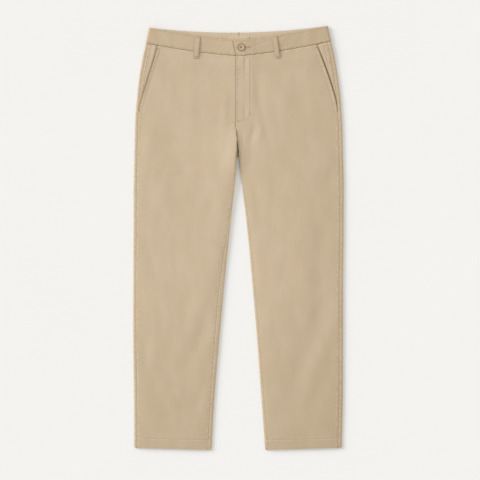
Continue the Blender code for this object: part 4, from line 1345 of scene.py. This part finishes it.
def button_neck():
    """The wrapped thread between the button and the underlap."""
    low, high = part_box("button_shank")
    bm = bmesh.new()
    turns = 5
    for i in range(turns):
        z = low.z + (high.z - low.z) * (i + 0.5) / turns
        made = bmesh.ops.create_cone(bm, cap_ends=True, segments=20, radius1=1.5 * MM,
                                     radius2=1.5 * MM, depth=(high.z - low.z) / turns * 0.96,
                                     matrix=Matrix.Translation(((low.x + high.x) / 2,
                                                                (low.y + high.y) / 2, z)))
        rims = [e for e in {e for v in made["verts"] for e in v.link_edges}
                if len(e.link_faces) == 2 and e.calc_face_angle() > 1]
        bmesh.ops.bevel(bm, geom=rims, offset=0.12 * MM, affect="EDGES", segments=2,
                        profile=0.5, material=-1)
    return new_piece("button_shank_thread", bm, THREAD, ["button_shank"], 60)


button()
button_thread()
button_neck()

# %% [markdown]
# ## Stitching
# The topstitching is tonal lockstitch, about eight stitches to the inch, so 3.2 mm each. A stitch is
# a rice-grain shape, laid on the cloth by casting a ray onto the finished panel, so that it follows
# every pucker. Bar tacks are the same grains set close together and turned across.

# %% Stitch runs
STITCH = 3.2
THREAD_RISE = 0.2           # how far a stitch stands above and below the cloth's surface


def surface_of(pieces):
    """A tree for finding the outer surface of some pieces."""
    graph = bpy.context.evaluated_depsgraph_get()
    return [BVHTree.FromObject(piece, graph) for piece in pieces]


def land(trees, x, y, from_above):
    """Where a ray meets the cloth first, and its normal there."""
    height = 0.03 if from_above else -0.03
    way = Vector((0, 0, -1 if from_above else 1))
    best = None
    for tree in trees:
        spot, normal, _, far = tree.ray_cast(Vector((x, y, height)), way)
        if spot is not None and (best is None or far < best[2]):
            best = (spot, normal, far)
    return best


# %% [markdown]
# ### One line of stitches
# A path is cut into equal steps, and a stitch is laid at each.

# %% One line of stitches
def resample(path, pitch):
    """Points along a path of (x, y) in millimetres, a pitch apart, and their directions."""
    points = np.array(path, float)
    gone = np.concatenate(([0], np.hypot(*np.diff(points, axis=0).T).cumsum()))
    count = max(1, int(gone[-1] / pitch))
    at = (np.arange(count) + 0.5) * gone[-1] / count
    xs, ys = np.interp(at, gone, points[:, 0]), np.interp(at, gone, points[:, 1])
    ahead = np.minimum(at + 0.5, gone[-1])
    behind = np.maximum(at - 0.5, 0)
    dx = np.interp(ahead, gone, points[:, 0]) - np.interp(behind, gone, points[:, 0])
    dy = np.interp(ahead, gone, points[:, 1]) - np.interp(behind, gone, points[:, 1])
    return zip(xs, ys, np.arctan2(dy, dx))


def sew(bm, trees, path, pitch=STITCH, length=2.5, width=0.55, from_above=True, across=False):
    """Lays stitches along a path that is given as it lies, in millimetres above the hems."""
    sewn = 0
    run = bmesh.new()
    for x, y, angle in resample(path, pitch):
        found = land(trees, x * MM, (y + HEM_Y) * MM, from_above)
        if found is None:
            continue
        spot, normal, _ = found
        spot.z = max(spot.z, THREAD_RISE * MM)
        if abs(normal.z) < 0.4:
            continue
        angle = angle + math.pi / 2 if across else angle
        along = Vector((math.cos(angle), math.sin(angle), 0))
        along = (along - normal * along.dot(normal)).normalized()
        side = normal.cross(along)
        frame_of = Matrix((along, side, normal)).transposed().to_4x4()
        size = Matrix.Diagonal((length / 2 * MM, width / 2 * MM, THREAD_RISE * MM, 1))
        bmesh.ops.create_uvsphere(run, u_segments=6, v_segments=4, radius=1,
                                  matrix=Matrix.Translation(spot) @ frame_of @ size)
        sewn += 1
    line = bpy.data.meshes.new("line")
    run.to_mesh(line)
    run.free()
    bm.from_mesh(line)
    bpy.data.meshes.remove(line)
    return sewn


def as_lies(side, v, reach, on_front=True):
    """A path in x and y, from heights and reaches on the garment."""
    v, reach = np.broadcast_arrays(np.asarray(v, float), np.asarray(reach, float))
    return np.stack((SIGN[side] * reach, lay_y(side, v, reach, on_front)), axis=-1)


# %% [markdown]
# ### The lines of stitching
# Pockets, inseams, hems, fly, waistband and loops on the front, and their like underneath.

# %% Topstitching, front and back
def topstitching():
    """Every line of stitching that shows on the front."""
    bm = bmesh.new()
    total = 0
    for side in SIGN:
        front = surface_of([panels["front_" + side]])
        v = np.linspace(POCKET_BOTTOM - 12, WAIST_SEAM - 4, 60)
        total += sew(bm, front, as_lies(side, v, pocket_edge(side, v) - POCKET_STITCH))
        v = np.linspace(WAIST_SEAM - 4, POCKET_BOTTOM - 6, 60)
        total += sew(bm, front, as_lies(side, v, pocket_edge(side, v) - 1.8))
        v = np.linspace(4, CROTCH_FRONT - 22, 200)
        _, flat_end, curl = front_ends(side, v)
        from_seam = np.maximum(INSEAM_STITCH - curl, 1.0)
        total += sew(bm, front, as_lies(side, v, flat_end + from_seam))
        reach = np.linspace(inner(side, np.array(HEM_DEPTH)) + 3, outer(side, HEM_DEPTH) - 14, 80)
        total += sew(bm, front, as_lies(side, HEM_DEPTH, reach))
    left = surface_of([panels["front_left"]])
    total += sew(bm, left, J_PATH)
    v = np.linspace(FLY_BOTTOM + 2, WAIST_SEAM - 3, 80)
    total += sew(bm, left, as_lies("left", v, -FLY_EDGE + 2.6))
    for side in SIGN:
        band = surface_of([bands[side]])
        low = -3.0 if side == "left" else 8.0
        reach = np.linspace(low, float(outer(side, WAIST_SEAM)) - 4, 120)
        total += sew(bm, band, as_lies(side, WAIST_SEAM + BAND_STITCH + TURN, reach))
        reach = np.linspace(low - 5, float(outer(side, WAIST_TOP)) - 4, 120)
        total += sew(bm, band, as_lies(side, WAIST_SEAM + 35, reach))
    for loop in LOOPS:
        if loop.on_front:
            cloth = surface_of([loops[loop.name]])
            for across in (-0.66, 0.66):
                t = np.linspace(0.04, 0.97, 30)
                v = WAIST_SEAM - LOOP_BELOW_SEAM + (WAIST_TOP - WAIST_SEAM + LOOP_BELOW_SEAM) * t
                x = loop.bottom_x + (loop.top_x - loop.bottom_x) * t + across * LOOP_WIDTH / 2
                side = "left" if loop.top_x > 0 else "right"
                total += sew(bm, cloth, as_lies(side, v, SIGN[side] * x), pitch=2.8, length=2.1)
    print("front stitches: %d" % total)
    return new_piece("topstitching_front", bm, THREAD, [], 60)


def back_stitching():
    """The stitching underneath: hems, waistband, centre back and loops."""
    bm = bmesh.new()
    total = 0
    for side in SIGN:
        back = surface_of([panels["back_" + side]])
        reach = np.linspace(inner(side, np.array(HEM_DEPTH)) + 6, outer(side, HEM_DEPTH) - 6, 80)
        total += sew(bm, back, as_lies(side, HEM_DEPTH, reach, False), from_above=False)
        v = np.linspace(CROTCH_BACK + 14, WAIST_SEAM - 4, 80)
        total += sew(bm, back, as_lies(side, v, 6.0, False), from_above=False)
        band = surface_of([bands[side]])
        reach = np.linspace(2, float(outer(side, WAIST_SEAM)) - 5, 120)
        height = WAIST_SEAM + BAND_STITCH + TURN
        total += sew(bm, band, as_lies(side, height, reach, False), from_above=False)
    print("back stitches: %d" % total)
    return new_piece("topstitching_back", bm, THREAD, [], 60)


# %% [markdown]
# Bar tacks hold the places that take strain: the ends of the pockets, the bottom of the fly and the
# ends of the loops. The buttonhole's edge is bound with the same close stitches.

# %% Bar tacks and the buttonhole
def tack(bm, trees, middle, angle, length, from_above=True):
    """A bar tack: close stitches set across a short line."""
    run = np.array((math.cos(angle), math.sin(angle))) * length / 2
    path = np.array((np.array(middle) - run, np.array(middle) + run))
    return sew(bm, trees, path, pitch=0.5, length=1.9, width=0.42, from_above=from_above,
               across=True)


def bar_tacks():
    bm = bmesh.new()
    total = 0
    for side in SIGN:
        cloth = surface_of([panels["front_" + side], panels["back_" + side], facings[side]])
        for v, inset in ((POCKET_BOTTOM + 2, 1.5), (WAIST_SEAM - 8, 1.5)):
            at = as_lies(side, v, float(pocket_edge(side, np.array(v))) - inset)
            total += tack(bm, cloth, at, math.pi / 2 if v < 900 else 0, 7)
    left = surface_of([panels["front_left"]])
    total += tack(bm, left, (29.0, 823), math.pi / 2, 7)
    total += tack(bm, left, (0.5, 803.8), 0.1, 7)
    for loop in LOOPS:
        cloth = surface_of([loops[loop.name]])
        side = "left" if loop.top_x >= 0 else "right"
        for t, x in ((4.0, loop.bottom_x), (WAIST_TOP - WAIST_SEAM + 13.5, loop.top_x)):
            at = as_lies(side, WAIST_SEAM - LOOP_BELOW_SEAM + t, SIGN[side] * x, loop.on_front)
            total += tack(bm, cloth, at, 0, 9.5, loop.on_front)
    print("bar tack stitches: %d" % total)
    return new_piece("bar_tacks", bm, THREAD, [], 60)


def buttonhole():
    """Close stitches round a keyhole: a long slot with an eye under the button."""
    bm = bmesh.new()
    band = surface_of([bands["left"]])
    left, right = button_middle.x / MM + 3, 29.5
    y = button_middle.y / MM - HEM_Y
    total = 0
    for offset in (-1.25, 1.25):
        total += sew(bm, band, ((left, y + offset), (right, y + offset)), pitch=0.62,
                     length=1.9, width=0.5, across=True)
    total += sew(bm, band, ((right + 0.4, y - 1.9), (right + 0.4, y + 1.9)), pitch=0.6,
                 length=2.0, width=0.55, across=True)
    print("buttonhole stitches: %d" % total)
    return new_piece("buttonhole_stitching", bm, THREAD, [], 60)


topstitching()
back_stitching()
bar_tacks()
buttonhole()

# %% [markdown]
# ## Floor, light and camera
# Trousers laid flat are shot from straight above with a long lens. One wide, soft light comes from
# the upper left, low enough to draw the creases and even over the floor, and the pale room fills
# the rest.

# %% Floor, light and camera
FLOOR_SIZE = 14.0
bm = bmesh.new()
bmesh.ops.create_grid(bm, x_segments=1, y_segments=1, size=FLOOR_SIZE / 2)
floor_mesh = bpy.data.meshes.new("floor")
bm.to_mesh(floor_mesh)
bm.free()
linked("floor", floor_mesh)


def matte_paper():
    """A roll of matte studio paper, with the faintest unevenness."""
    material, tree, shader, places = new_material("matte_studio_paper")
    pulp = add(tree, "TexNoise", {"Scale": 3.0, "Detail": 3.0}, {"Vector": places["Object"]})
    paper = dye(tree, FLOOR_LOW, (pulp.outputs["Fac"], 0.0, 1.0, FLOOR_HIGH, 1.0))
    wire(tree, shader, {"Roughness": 0.95, "Specular IOR Level": 0.1}, {"Base Color": paper})
    return material


FLOOR_LOW = "#f4f3f1"
FLOOR_HIGH = "#f6f5f3"
floor_mesh.materials.append(matte_paper())

KEY_AZIMUTH = math.radians(152)
KEY_HEIGHT = math.radians(20)
toward = Vector((math.cos(KEY_AZIMUTH) * math.cos(KEY_HEIGHT),
                 math.sin(KEY_AZIMUTH) * math.cos(KEY_HEIGHT), math.sin(KEY_HEIGHT)))
key_data = bpy.data.lights.new("key", "SUN")
key_data.angle = math.radians(24)
key_data.energy = 2.3
key_data.color = (1.0, 0.985, 0.96)
key = linked("key", key_data)
key.location = toward * 3.0
key.rotation_euler = toward.to_track_quat("Z", "Y").to_euler()

world = bpy.data.worlds.new("pale_room")
world.use_nodes = True
room = world.node_tree.nodes["Background"]
room.inputs["Color"].default_value = (1.0, 0.995, 0.985, 1.0)
room.inputs["Strength"].default_value = 0.745
bpy.context.scene.world = world

VIEW_WIDTH = 1.176
CAMERA_HEIGHT = 8.0
lens = bpy.data.cameras.new("camera")
lens.sensor_width = 36.0
lens.lens = 36.0 * CAMERA_HEIGHT / VIEW_WIDTH
camera = linked("camera", lens)
camera.location = (0.0041, -0.0057, CAMERA_HEIGHT)
bpy.context.scene.camera = camera
bpy.context.scene.view_settings.view_transform = "Standard"
print("camera %.1f m up, %.3f m wide; key light %.0f degrees above the floor"
      % (CAMERA_HEIGHT, VIEW_WIDTH, math.degrees(KEY_HEIGHT)))
